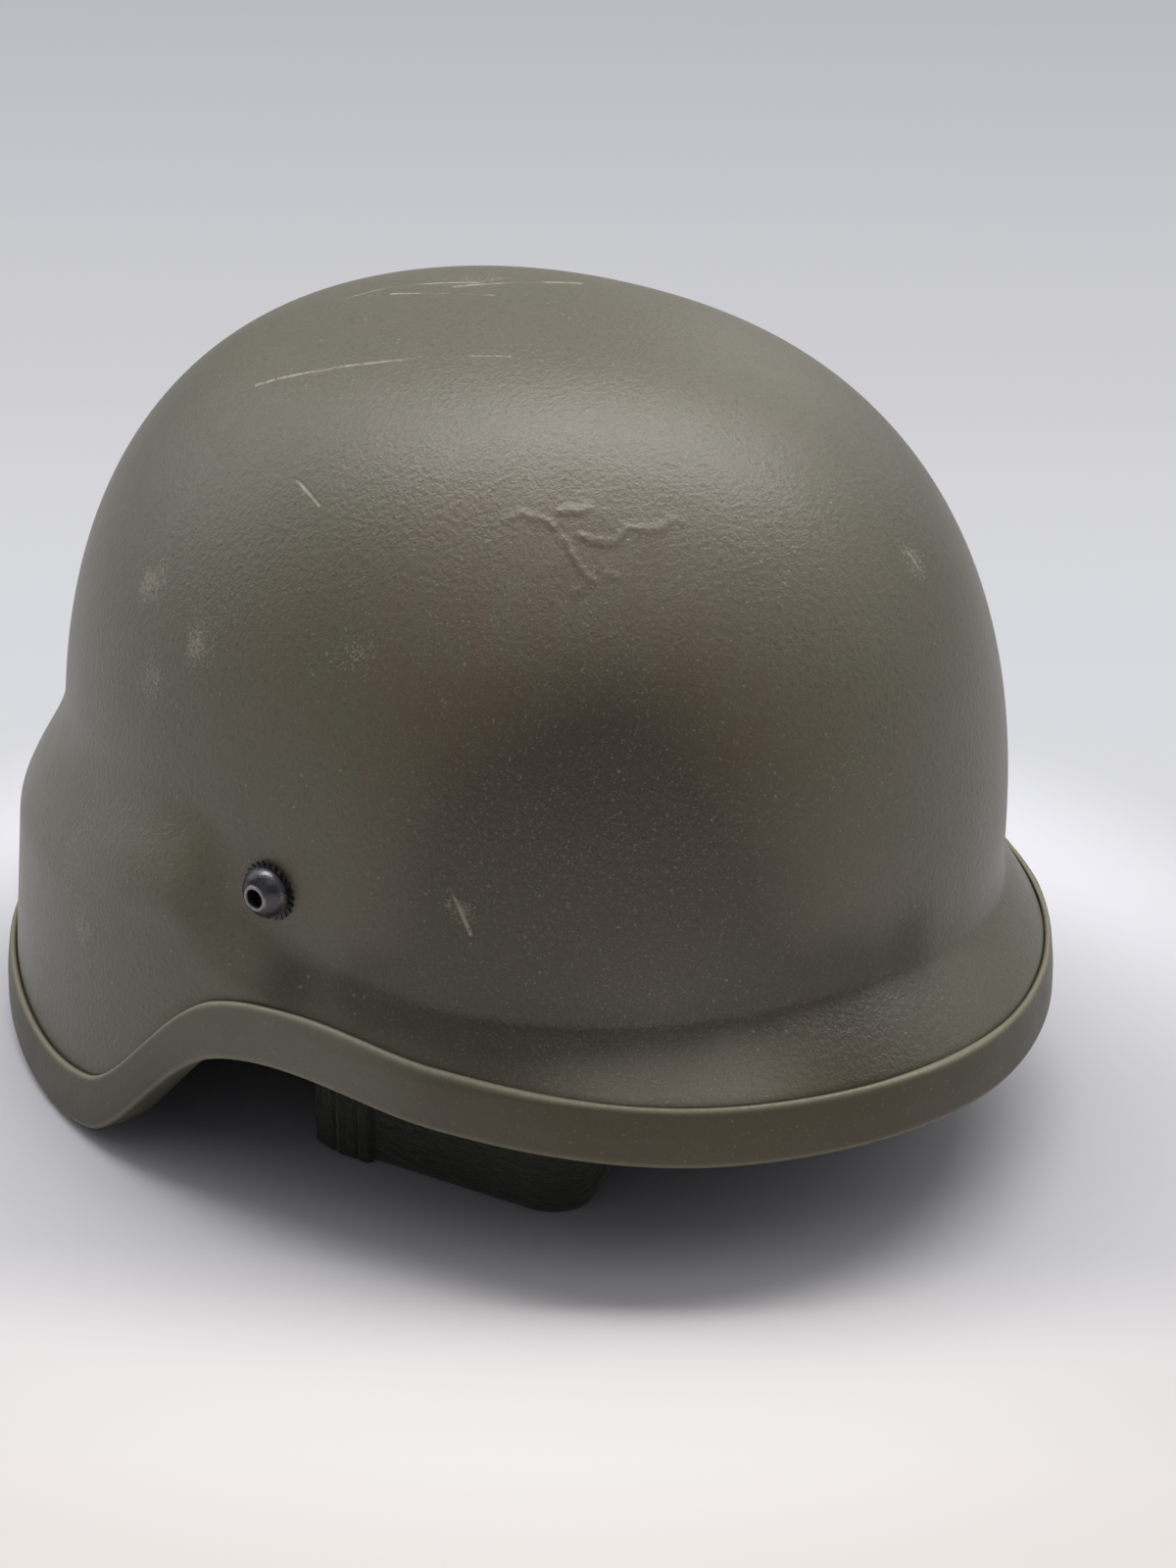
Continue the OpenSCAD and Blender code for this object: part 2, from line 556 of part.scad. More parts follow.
module band_stud(side) color(STEEL) on_side(side) {
    across(plate_x + crown_t + 0.1, stud_y, stud_z) cylinder(h = 0.9, r = stud_head_r, $fn = FULL);
    across(stud_face - bore_deep + gap, stud_y, stud_z)
        cylinder(h = plate_x + crown_t + 0.3 - stud_face + bore_deep - gap, r = stud_r,
            $fn = FULL);
    across(tab_face + 0.1, stud_y, stud_z)
        cylinder(h = plate_x - tab_face - 0.2, r = stud_head_r, $fn = FULL);
}

// A hanger is a webbing ribbon from the ring's inner face to the headband's outer face
hang_bow = [25, 33.5, 42];
hang_turn = [16, 21, 26];
function bow_front(x) = bow_y - sqrt(bow_r * bow_r - x * x);
function ring_row(z, cut) = [for (a = hang_turn)
    let (r = ring_r(a, ring_t + cut)) liner_pt(r * sin(a), centre_run - r * cos(a), z)];
function band_row(z, out) = [for (x = hang_bow) [x, bow_front(x) - out, z]];
function ribbon(outer, inner) = concat(outer, [inner[2], inner[1], inner[0]]);
module front_hanger(side) color(WEB) on_side(side) swept([
    ribbon(band_row(band_top - 12, gap + crown_t), band_row(band_top - 12, gap)),
    ribbon(band_row(band_top + 1, gap + crown_t), band_row(band_top + 1, gap)),
    ribbon(ring_row(-ring_h / 2 - 1, gap), ring_row(-ring_h / 2 - 1, gap + crown_t)),
    ribbon(ring_row(ring_h / 2 - 5, gap), ring_row(ring_h / 2 - 5, gap + crown_t))], 1);

rear_cy = dome_y + 12;
rear_half_w = band_half_w + 2.7;
rear_n = 2.2;
rear_t = band_t - 1;
function rear_station(t) =
    let (b = rear_reach - 12, c = cos(t), s = sin(t),
        x = rear_half_w * pow(abs(c), 2 / rear_n), y = b * pow(s, 2 / rear_n),
        nx = pow(x / rear_half_w, rear_n - 1) / rear_half_w,
        ny = pow(y / b, rear_n - 1) / b, l = norm([nx, ny]))
    [x, rear_cy + y, nx / l, ny / l];
rear_half = [for (t = concat([0.5, 3, 8, 14], [for (k = [21 : 7.5 : 86]) k])) rear_station(t)];
rear_line = concat(rear_half, [rear_station(90)], flip(rear_half));
module rear_headband() color(SUEDE)
    swept([for (k = [len(rear_line) - 1 : -1 : 0])
        pad_ring(rear_line[k], rear_low, rear_top, rear_t)], 2);

// A cushion along a line: full in the middle, drawn in towards its ends and edges
cushion_ring = [[0, 0.12], [0.3, 0.02], [0.7, 0], [0.95, 0.16], [0.86, 0.33], [1, 0.5],
    [0.86, 0.67], [0.95, 0.84], [0.7, 1], [0.3, 0.98], [0, 0.88], [0, 0.5]];
module cushion(line, mid, h, t, off) {
    m = len(line) - 1;
    swept([for (k = [m : -1 : 0])
        let (s = 2 * k / m - 1, w = pow(1 - 0.94 * s * s, 0.4), st = line[k])
        [for (p = cushion_ring)
            let (d = off + t * p[0] * w)
            [st[0] - d * st[2], st[1] - d * st[3], mid + (p[1] - 0.5) * h * w]]], 11);
}
module nape_pad() color(FOAM) {
    line = [for (t = [66 : 4 : 86]) rear_station(t)];
    cushion(concat(line, [rear_station(90)], flip(line)),
        (rear_low + rear_top) / 2, (rear_top - rear_low) * 0.86, 7, rear_t + gap);
}

strap_rear_x = rear_half_w + fit;
strap_bend = loop_y + loop_w + size_travel + 4;
strap_path = [[plate_x, loop_y - 5], [plate_x, strap_bend],
    [strap_rear_x, max(rear_cy, strap_bend + 12) + 3],
    [strap_rear_x, max(rear_cy, strap_bend + 12) + 14]];
module size_strap(side) color(WEB) on_side(side) translate([0, 0, strap_low])
    linear_extrude(size_strap_h)
    polygon(concat(strap_path, [for (k = [3 : -1 : 0]) strap_path[k] + [crown_t, 0]]));

module rear_hanger(side) color(BLACK) on_side(side) difference() {
    translate([strap_rear_x, hang_y - 7, strap_top + 3])
        cube([crown_t, size_travel + 12.5, hang_z + 7 - strap_top - 3]);
    hull() for (y = [hang_y, hang_y + size_travel]) across(strap_rear_x - 1, y, hang_z)
        cylinder(h = 4, r = slot_r + 0.15, $fn = FULL);
}
module hanger_stud(side) color(STEEL) on_side(side) {
    inner = strap_rear_x - 0.2;
    across(inner - 1.2, hang_y, hang_z) cylinder(h = 1.2, r = 4, $fn = FULL);
    across(inner - 0.2, hang_y, hang_z) cylinder(h = hang_x + 1.4 - inner, r = slot_r, $fn = FULL);
    across(strap_rear_x + crown_t + 0.2, hang_y, hang_z)
        cylinder(h = hang_x - ring_t - 0.4 - strap_rear_x - crown_t - 0.2, r = 4, $fn = FULL);
    across(hang_x + 1.1, hang_y, hang_z) cylinder(h = 1, r = 4, $fn = FULL);
}

// The chin strap's own frame: u runs back along the arms from the hinge. Stowed, the
// lower edge of the cup stands just clear of the floor
strap_len = dome_y + back_len - wall_t - hinge_y - strap_room;
loop_len = 55;
stow = asin((hinge_z - 0.4) / norm([strap_len, cup_h / 2])) - atan2(cup_h / 2, strap_len);
module on_hinge() translate([0, hinge_y, hinge_z]) rotate([-stow, 0, 0]) children();
bend_u = strap_len - loop_len;
loop_n = 2.1;
function strap_station(t) =
    let (w = arm_x + web_t / 2, b = loop_len, c = cos(t), s = sin(t),
        x = w * pow(abs(c), 2 / loop_n), y = b * pow(s, 2 / loop_n),
        nx = pow(x / w, loop_n - 1) / w, ny = pow(y / b, loop_n - 1) / b, l = norm([nx, ny]))
    [x, bend_u + y, nx / l, ny / l];
tab_start = 12;
tab_end = 18;
web_start = tab_end - 3.7;
socket_u = 30;
socket_len = 20;
plug_u = socket_u + socket_len + 0.1;
plug_len = 14;
keeper_u = plug_u + plug_len + plug_travel + 1.5;
keeper_w = 7;
joint_u = keeper_u + 0.5;
buckle_x = arm_x + 1;
buckle_t = 6.4;

module strap_tab(side) color(BLACK) on_hinge() on_side(side) difference() {
    union() {
        across(arm_x - plate_t / 2, 0, 0) cylinder(h = plate_t, r = 8, $fn = FULL);
        translate([arm_x - plate_t / 2, 0, -8]) cube([plate_t, tab_start + 1, 16]);
        translate([arm_x - 2.1, tab_start, -web_w / 2 - 1.5])
            cube([4.2, tab_end - tab_start, web_w + 3]);
    }
    across(arm_x - 3, 0, 0) cylinder(h = 6, r = rivet_d / 2 + fit, $fn = FULL);
    translate([arm_x - web_t / 2 - 0.1, web_start - 0.2, -web_w / 2 - 0.1])
        cube([web_t + 0.2, 6, web_w + 0.2]);
}
loop_turns = [for (t = [0 : 7.5 : 82.5]) t];
loop_out = concat([for (t = loop_turns) strap_station(t)], [strap_station(90)],
    flip([for (t = loop_turns) strap_station(t)]));
module chin_webbing_right() color(WEB) on_hinge() translate([0, 0, -web_w / 2])
    linear_extrude(web_w) polygon(concat(
        [[arm_x + web_t / 2, joint_u]], [for (p = loop_out) [p[0], p[1]]],
        [[-arm_x - web_t / 2, web_start], [-arm_x + web_t / 2, web_start]],
        [for (k = [len(loop_out) - 1 : -1 : 0]) let (p = loop_out[k])
            [p[0] - web_t * p[2], p[1] - web_t * p[3]]],
        [[arm_x - web_t / 2, joint_u]]));
module chin_webbing_left() color(WEB) on_hinge()
    translate([arm_x - web_t / 2, web_start, -web_w / 2])
    cube([web_t, socket_u + 4 - web_start, web_w]);

cup_span = 30;
cup_line = [for (t = [90 - cup_span : 5 : 86]) strap_station(t)];
cup_path = concat(cup_line, [strap_station(90)], flip(cup_line));
cup_t = 2.2;
module chin_cup() color(BLACK) on_hinge() {
    m = len(cup_path) - 1;
    swept([for (k = [m : -1 : 0])
        let (s = 2 * k / m - 1, h = cup_h * (1 - 0.35 * s * s), st = cup_path[k],
            in0 = web_t + gap)
        [for (p = [[0, 0.5], [0, 0.08], [1.2, 0], [cup_t + 1.2, 0.02], [cup_t, 0.12],
            [cup_t, 0.5], [cup_t, 0.88], [cup_t + 1.2, 0.98], [1.2, 1], [0, 0.92]])
            let (d = in0 + p[0]) [st[0] - d * st[2], st[1] - d * st[3], (p[1] - 0.5) * h]]], 0);
}
module chin_pad() color(FOAM) on_hinge() {
    line = [for (t = [66 : 5 : 86]) strap_station(t)];
    cushion(concat(line, [strap_station(90)], flip(line)), 0, cup_h * 0.68, 6,
        web_t + cup_t + 2 * gap);
}

strip_x = arm_x + web_t / 2 + gap;
module strap_keeper() color(BLACK) on_hinge() difference() {
    translate([arm_x - web_t / 2 - 1.3, keeper_u, -web_w / 2 - 2])
        cube([2 * web_t + gap + 2.6, keeper_w, web_w + 4]);
    translate([arm_x - web_t / 2 - 0.2, keeper_u - 1, -web_w / 2 - 0.2])
        cube([2 * web_t + gap + 0.4, keeper_w + 2, web_w + 0.4]);
}
prong_len = 10;
prong_w = 3.4;
prong_t = 3.2;
module buckle_plate(u, l, cut) translate([buckle_x - buckle_t / 2, 0, 0])
    rotate([90, 0, 90]) linear_extrude(buckle_t) polygon([
        [u, -buckle_w / 2 + cut[0]], [u + cut[0], -buckle_w / 2],
        [u + l - cut[1], -buckle_w / 2], [u + l, -buckle_w / 2 + cut[1]],
        [u + l, buckle_w / 2 - cut[1]], [u + l - cut[1], buckle_w / 2],
        [u + cut[0], buckle_w / 2], [u, buckle_w / 2 - cut[0]]]);
module buckle_socket() color(BLACK) on_hinge() difference() {
    buckle_plate(socket_u, socket_len, [4, 0.6]);
    translate([arm_x - web_t / 2 - 0.1, socket_u - 1, -web_w / 2 - 0.1])
        cube([web_t + 0.2, 5.2, web_w + 0.2]);
    translate([buckle_x - prong_t / 2 - gap, socket_u + socket_len - prong_len - 1,
        -buckle_w / 2 + 1.6]) cube([prong_t + 2 * gap, prong_len + 2, buckle_w - 3.2]);
    for (side = [-1, 1]) translate([buckle_x - 1.9, socket_u + socket_len - 9,
        side * buckle_w / 2 - 2.5]) cube([3.8, 6, 5]);
}
module buckle_plug() color(BLACK) on_hinge() difference() {
    union() {
        buckle_plate(plug_u, plug_len, [0.6, 3]);
        for (side = [-1, 1])
            translate([buckle_x - prong_t / 2, plug_u - prong_len, side * (buckle_w / 2 - 4)
                - prong_w / 2]) cube([prong_t, prong_len + 1, prong_w]);
        translate([buckle_x - prong_t / 2, plug_u - prong_len, -1.5])
            cube([prong_t, prong_len + 1, 3]);
    }
    translate([strip_x - 0.1, plug_u + 6, -web_w / 2 - 0.1])
        cube([web_t + 0.2, plug_len, web_w + 0.2]);
}
module plug_webbing() color(WEB) on_hinge() translate([strip_x, plug_u + 6.2, -web_w / 2])
    cube([web_t, keeper_u + keeper_w + 1.5 - plug_u - 6.2, web_w]);

shell();
edge_trim();
sleeve_nut(-1);  // sleeve_nut_right
sleeve_nut(1);  // sleeve_nut_left
sleeve_nut(0);  // sleeve_nut_rear
lock_washer(-1);  // lock_washer_right
lock_washer(1);  // lock_washer_left
lock_washer(0);  // lock_washer_rear
spacer_bush(-1);  // spacer_bush_right
spacer_bush(1);  // spacer_bush_left
spacer_bush(0);  // spacer_bush_rear
liner_screw(-1);  // liner_screw_right
liner_screw(1);  // liner_screw_left
liner_screw(0);  // liner_screw_rear
liner_ring();
hanger_bracket(-1);  // hanger_bracket_right
hanger_bracket(1);  // hanger_bracket_left
temple_plate(-1);  // temple_plate_right
temple_plate(1);  // temple_plate_left
hinge_rivet(-1);  // hinge_rivet_right
hinge_rivet(1);  // hinge_rivet_left
crown_strap(1);  // crown_strap_1
crown_strap(2);  // crown_strap_2
crown_strap(3);  // crown_strap_3
crown_strap(4);  // crown_strap_4
crown_strap(5);  // crown_strap_5
crown_strap(6);  // crown_strap_6
crown_disc();
crown_pad();
front_headband();
headband_tab(-1);  // headband_tab_right
headband_tab(1);  // headband_tab_left
band_stud(-1);  // band_stud_right
band_stud(1);  // band_stud_left
front_hanger(-1);  // front_hanger_right
front_hanger(1);  // front_hanger_left
hanger_stud(-1);  // hanger_stud_right
hanger_stud(1);  // hanger_stud_left
rear_headband();
nape_pad();
size_strap(-1);  // size_strap_right
size_strap(1);  // size_strap_left
rear_hanger(-1);  // rear_hanger_right
rear_hanger(1);  // rear_hanger_left
strap_tab(-1);  // strap_tab_right
strap_tab(1);  // strap_tab_left
chin_webbing_right();
chin_webbing_left();
chin_cup();
chin_pad();
strap_keeper();
buckle_socket();
buckle_plug();
plug_webbing();
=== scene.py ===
"""Looks of a combat helmet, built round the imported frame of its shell, liner and chin strap."""

import logging
import math
from dataclasses import dataclass
from enum import Enum
from typing import Callable, Iterable, NamedTuple, Optional, Sequence, Union

import bmesh
import bpy
import numpy as np
from mathutils import Matrix, Vector


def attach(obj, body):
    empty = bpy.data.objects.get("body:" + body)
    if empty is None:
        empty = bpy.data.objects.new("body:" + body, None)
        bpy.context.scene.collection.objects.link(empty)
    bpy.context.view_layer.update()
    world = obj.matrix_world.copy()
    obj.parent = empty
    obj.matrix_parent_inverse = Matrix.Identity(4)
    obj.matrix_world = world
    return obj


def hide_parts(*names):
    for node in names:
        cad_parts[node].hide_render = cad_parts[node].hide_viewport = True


def rows(box: Iterable) -> list[list[float]]:
    """Plain lists of a box's two corners."""
    return [[float(c) for c in corner] for corner in box]


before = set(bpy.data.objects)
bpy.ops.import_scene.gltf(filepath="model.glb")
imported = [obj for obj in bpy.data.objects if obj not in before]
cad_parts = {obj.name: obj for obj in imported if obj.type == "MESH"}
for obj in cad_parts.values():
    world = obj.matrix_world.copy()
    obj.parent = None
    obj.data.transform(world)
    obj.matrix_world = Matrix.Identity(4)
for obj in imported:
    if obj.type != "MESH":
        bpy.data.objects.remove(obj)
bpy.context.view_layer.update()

LOG = logging.getLogger("helmet")
MM = 0.001
Number = Union[int, float]
Point = tuple[float, float, float]
Spot = tuple[Point, float, float]  # place, radius and strength
Half = tuple[np.ndarray, np.ndarray]  # points of half a line and the directions out of it


class Body(Enum):
    """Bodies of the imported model."""

    HELMET = "helmet"
    REAR_BAND = "rear_band"
    CHIN_STRAP = "chin_strap"
    PLUG = "plug"
    KEEPER = "keeper"


class Slot(Enum):
    """Material slots of the record."""

    SHELL_PAINT = "shell_paint"
    EDGE_RUBBER = "edge_rubber"
    DARK_STEEL = "dark_steel"
    PLAIN_STEEL = "plain_steel"
    BLACK_PLASTIC = "black_plastic"
    BLACK_RUBBER = "black_rubber"
    WEBBING = "webbing"
    BAND_LEATHER = "band_leather"
    PAD_CLOTH = "pad_cloth"


class Side(Enum):
    """Places of bolts and paired parts, with the sign of x."""

    RIGHT = -1
    REAR = 0
    LEFT = 1

    @property
    def word(self) -> str:
        """The side as names of nodes and pieces write it."""
        return self.name.lower()


PAIR = (Side.RIGHT, Side.LEFT)


class Part(NamedTuple):
    """A finished mesh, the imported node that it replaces, its finish and its body."""

    piece: bpy.types.Object
    node: str
    slot: Slot
    body: Body = Body.HELMET


def linear(hex_code: str) -> tuple[float, float, float, float]:
    """Turns a written screen colour into the light values that a shader takes.

    Args:
        hex_code: six hexadecimal digits, red, green and blue.

    Returns:
        Red, green, blue and full opacity.
    """
    parts = [int(hex_code[i : i + 2], 16) / 255 for i in (0, 2, 4)]
    light = [c / 12.92 if c <= 0.04045 else ((c + 0.055) / 1.055) ** 2.4 for c in parts]
    return light[0], light[1], light[2], 1.0


# ---------------------------------------------------------------- materials


class Wire:
    """One output socket that is used in sums and products like a number."""

    def __init__(self, tree: "Weaver", socket: bpy.types.NodeSocket) -> None:
        """Keeps the socket and the tree that it belongs to."""
        self.tree = tree
        self.socket = socket

    def _math(self, kind: str, *values: Union["Wire", Number], clamp: bool = False) -> "Wire":
        """Adds one Math node.

        Args:
            kind: the node's operation.
            values: its inputs in order.
            clamp: keeps the result between 0 and 1.

        Returns:
            The node's result.
        """
        settings = {"operation": kind, "use_clamp": clamp}
        return self.tree.node("ShaderNodeMath", settings, dict(enumerate(values)))

    def __add__(self, other: Union["Wire", Number]) -> "Wire":
        """Sum."""
        return self._math("ADD", self, other)

    def __radd__(self, other: Number) -> "Wire":
        """Sum with a number in front."""
        return self._math("ADD", other, self)

    def __sub__(self, other: Union["Wire", Number]) -> "Wire":
        """Difference."""
        return self._math("SUBTRACT", self, other)

    def __mul__(self, other: Union["Wire", Number]) -> "Wire":
        """Product."""
        return self._math("MULTIPLY", self, other)

    def __truediv__(self, other: Union["Wire", Number]) -> "Wire":
        """Quotient."""
        return self._math("DIVIDE", self, other)

    def sine(self) -> "Wire":
        """Sine of a value in radians."""
        return self._math("SINE", self)

    def top(self, other: Union["Wire", Number]) -> "Wire":
        """Larger of two values."""
        return self._math("MAXIMUM", self, other)

    def clip(self) -> "Wire":
        """Value held between 0 and 1."""
        return self._math("ADD", self, 0.0, clamp=True)

    def between(self, low: Number, high: Number) -> "Wire":
        """Smooth step from 0 at low to 1 at high.

        Args:
            low: value that gives 0.
            high: value that gives 1, above or below low.

        Returns:
            A mask between 0 and 1.
        """
        return self.tree.node("ShaderNodeMapRange", {"interpolation_type": "SMOOTHSTEP"},
                              {0: self, 1: low, 2: high})


class Weaver:
    """One material under construction, with its Principled shader."""

    def __init__(self, name: str) -> None:
        """Makes an empty material with one Principled shader on its output."""
        self.material = bpy.data.materials.new(f"{name}_look")
        self.material.use_nodes = True
        self.links = self.material.node_tree.links
        self.nodes = self.material.node_tree.nodes
        self.nodes.clear()
        self.shader = self.nodes.new("ShaderNodeBsdfPrincipled")
        self.output = self.nodes.new("ShaderNodeOutputMaterial")
        self.links.new(self.shader.outputs[0], self.output.inputs[0])

    def node(
        self,
        kind: str,
        settings: Optional[dict] = None,
        inputs: Optional[dict] = None,
        out: Union[int, str] = 0,
    ) -> Wire:
        """Adds any node.

        Args:
            kind: the node's type.
            settings: its properties, set before the sockets; "stops" fills a colour ramp.
            inputs: values or wires by socket number or name.
            out: which output is returned.

        Returns:
            The chosen output.
        """
        made = self.nodes.new(kind)
        for key, value in (settings or {}).items():
            if key == "stops":
                ramp = made.color_ramp.elements
                while len(ramp) < len(value):
                    ramp.new(0.5)
                for stop, (place, shade) in zip(ramp, value):
                    stop.position = place
                    stop.color = shade
            else:
                setattr(made, key, value)
        self._feed(made.inputs, inputs or {})
        return Wire(self, made.outputs[out])

    def _feed(self, sockets: bpy.types.bpy_prop_collection, values: dict) -> None:
        """Links or sets a node's inputs.

        Args:
            sockets: the inputs.
            values: wires and plain values by socket number or name.
        """
        for key, value in values.items():
            if isinstance(value, Wire):
                self.links.new(value.socket, sockets[key])
            else:
                sockets[key].default_value = value

    def vector(self, kind: str, *values: Union[Wire, Sequence[float]],
               scale: Union[Wire, Number] = 1.0) -> Wire:
        """Adds one Vector Math node.

        Args:
            kind: the node's operation.
            values: its vectors in order.
            scale: factor, which only a SCALE uses.

        Returns:
            The node's vector, or its number where the operation gives one.
        """
        inputs = dict(enumerate(values))
        if kind == "SCALE":
            inputs["Scale"] = scale
        out = "Value" if kind in ("DOT_PRODUCT", "LENGTH") else "Vector"
        return self.node("ShaderNodeVectorMath", {"operation": kind}, inputs, out=out)

    def place(self) -> Wire:
        """Object coordinates, in metres."""
        return self.node("ShaderNodeTexCoord", out="Object")

    def attribute(self, name: str) -> Wire:
        """A number kept on the mesh under that name."""
        return self.node("ShaderNodeAttribute", {"attribute_name": name}, out="Fac")

    def strip(self) -> tuple[Wire, Wire]:
        """Distance along and across a strap, in metres, from its own map."""
        along, across, _ = self.axes(self.node("ShaderNodeUVMap", {"uv_map": "strap"}))
        return along, across

    def axes(self, vector: Wire) -> tuple[Wire, ...]:
        """Splits a vector into its three parts."""
        split = self.node("ShaderNodeSeparateXYZ", inputs={0: vector}).socket.node
        return tuple(Wire(self, part) for part in split.outputs)

    def noise(self, vector: Wire, scale: float, detail: float = 2.0, rough: float = 0.5,
              warp: float = 0.0) -> Wire:
        """Fractal noise about one half.

        Args:
            vector: coordinates in metres.
            scale: repeats per metre.
            detail: octaves.
            rough: strength of the finer octaves.
            warp: distortion.

        Returns:
            A value between 0 and 1.
        """
        inputs = {"Vector": vector, "Scale": scale, "Detail": detail, "Roughness": rough,
                  "Distortion": warp}
        return self.node("ShaderNodeTexNoise", inputs=inputs)

    def cells(self, vector: Wire, scale: float) -> Wire:
        """Distance to scattered points.

        Args:
            vector: coordinates in metres.
            scale: points per metre.

        Returns:
            The distance in cells.
        """
        return self.node("ShaderNodeTexVoronoi", inputs={"Vector": vector, "Scale": scale})

    def blend(self, first: Union[Wire, Sequence[float]], second: Union[Wire, Sequence[float]],
              amount: Union[Wire, float]) -> Wire:
        """Mixes two colours.

        Args:
            first: colour at 0.
            second: colour at 1.
            amount: the mask.

        Returns:
            The mixed colour.
        """
        settings = {"data_type": "RGBA", "blend_type": "MIX"}
        return self.node("ShaderNodeMix", settings, {0: amount, 6: first, 7: second}, out=2)

    def near(self, point: Point) -> Wire:
        """Distance in metres from a point given in millimetres."""
        at = tuple(c * MM for c in point)
        return self.vector("LENGTH", self.vector("SUBTRACT", self.place(), at))

    def finish(self, colour: Union[Wire, Sequence[float]], rough: Union[Wire, float],
               height: Optional[Wire] = None, depth: float = 0.0, metal: float = 0.0,
               sheen: float = 0.0, gloss: float = 0.5) -> bpy.types.Material:
        """Feeds the shader.

        Args:
            colour: base colour.
            rough: roughness.
            height: relief between 0 and 1.
            depth: depth of the relief in metres.
            metal: metallic, 0 or 1.
            sheen: soft sheen of cloth.
            gloss: specular level.

        Returns:
            The finished material.
        """
        self._feed(self.shader.inputs, {
            "Base Color": colour, "Roughness": rough, "Metallic": metal,
            "Specular IOR Level": gloss, "Sheen Weight": sheen, "Sheen Roughness": 0.5})
        if height is not None:
            bump = self.node("ShaderNodeBump", inputs={"Strength": 1.0, "Distance": depth,
                                                       "Height": height})
            self._feed(self.shader.inputs, {"Normal": bump})
        return self.material

    def shown(self, colour: Wire, where: Wire) -> None:
        """Lets camera, mirrors and glass see a plain colour in place of the lit surface.

        Args:
            colour: what they see.
            where: mask of the places.
        """
        path = self.nodes.new("ShaderNodeLightPath")
        eyes = [Wire(self, path.outputs[f"Is {kind} Ray"])
                for kind in ("Camera", "Glossy", "Transmission")]
        glow = self.node("ShaderNodeEmission", inputs={"Color": colour, "Strength": 1.0})
        mask = (eyes[0] + eyes[1] + eyes[2]).clip() * where
        mix = self.node("ShaderNodeMixShader", inputs={
            0: mask, 1: Wire(self, self.shader.outputs[0]), 2: glow})
        self.links.new(mix.socket, self.output.inputs[0])


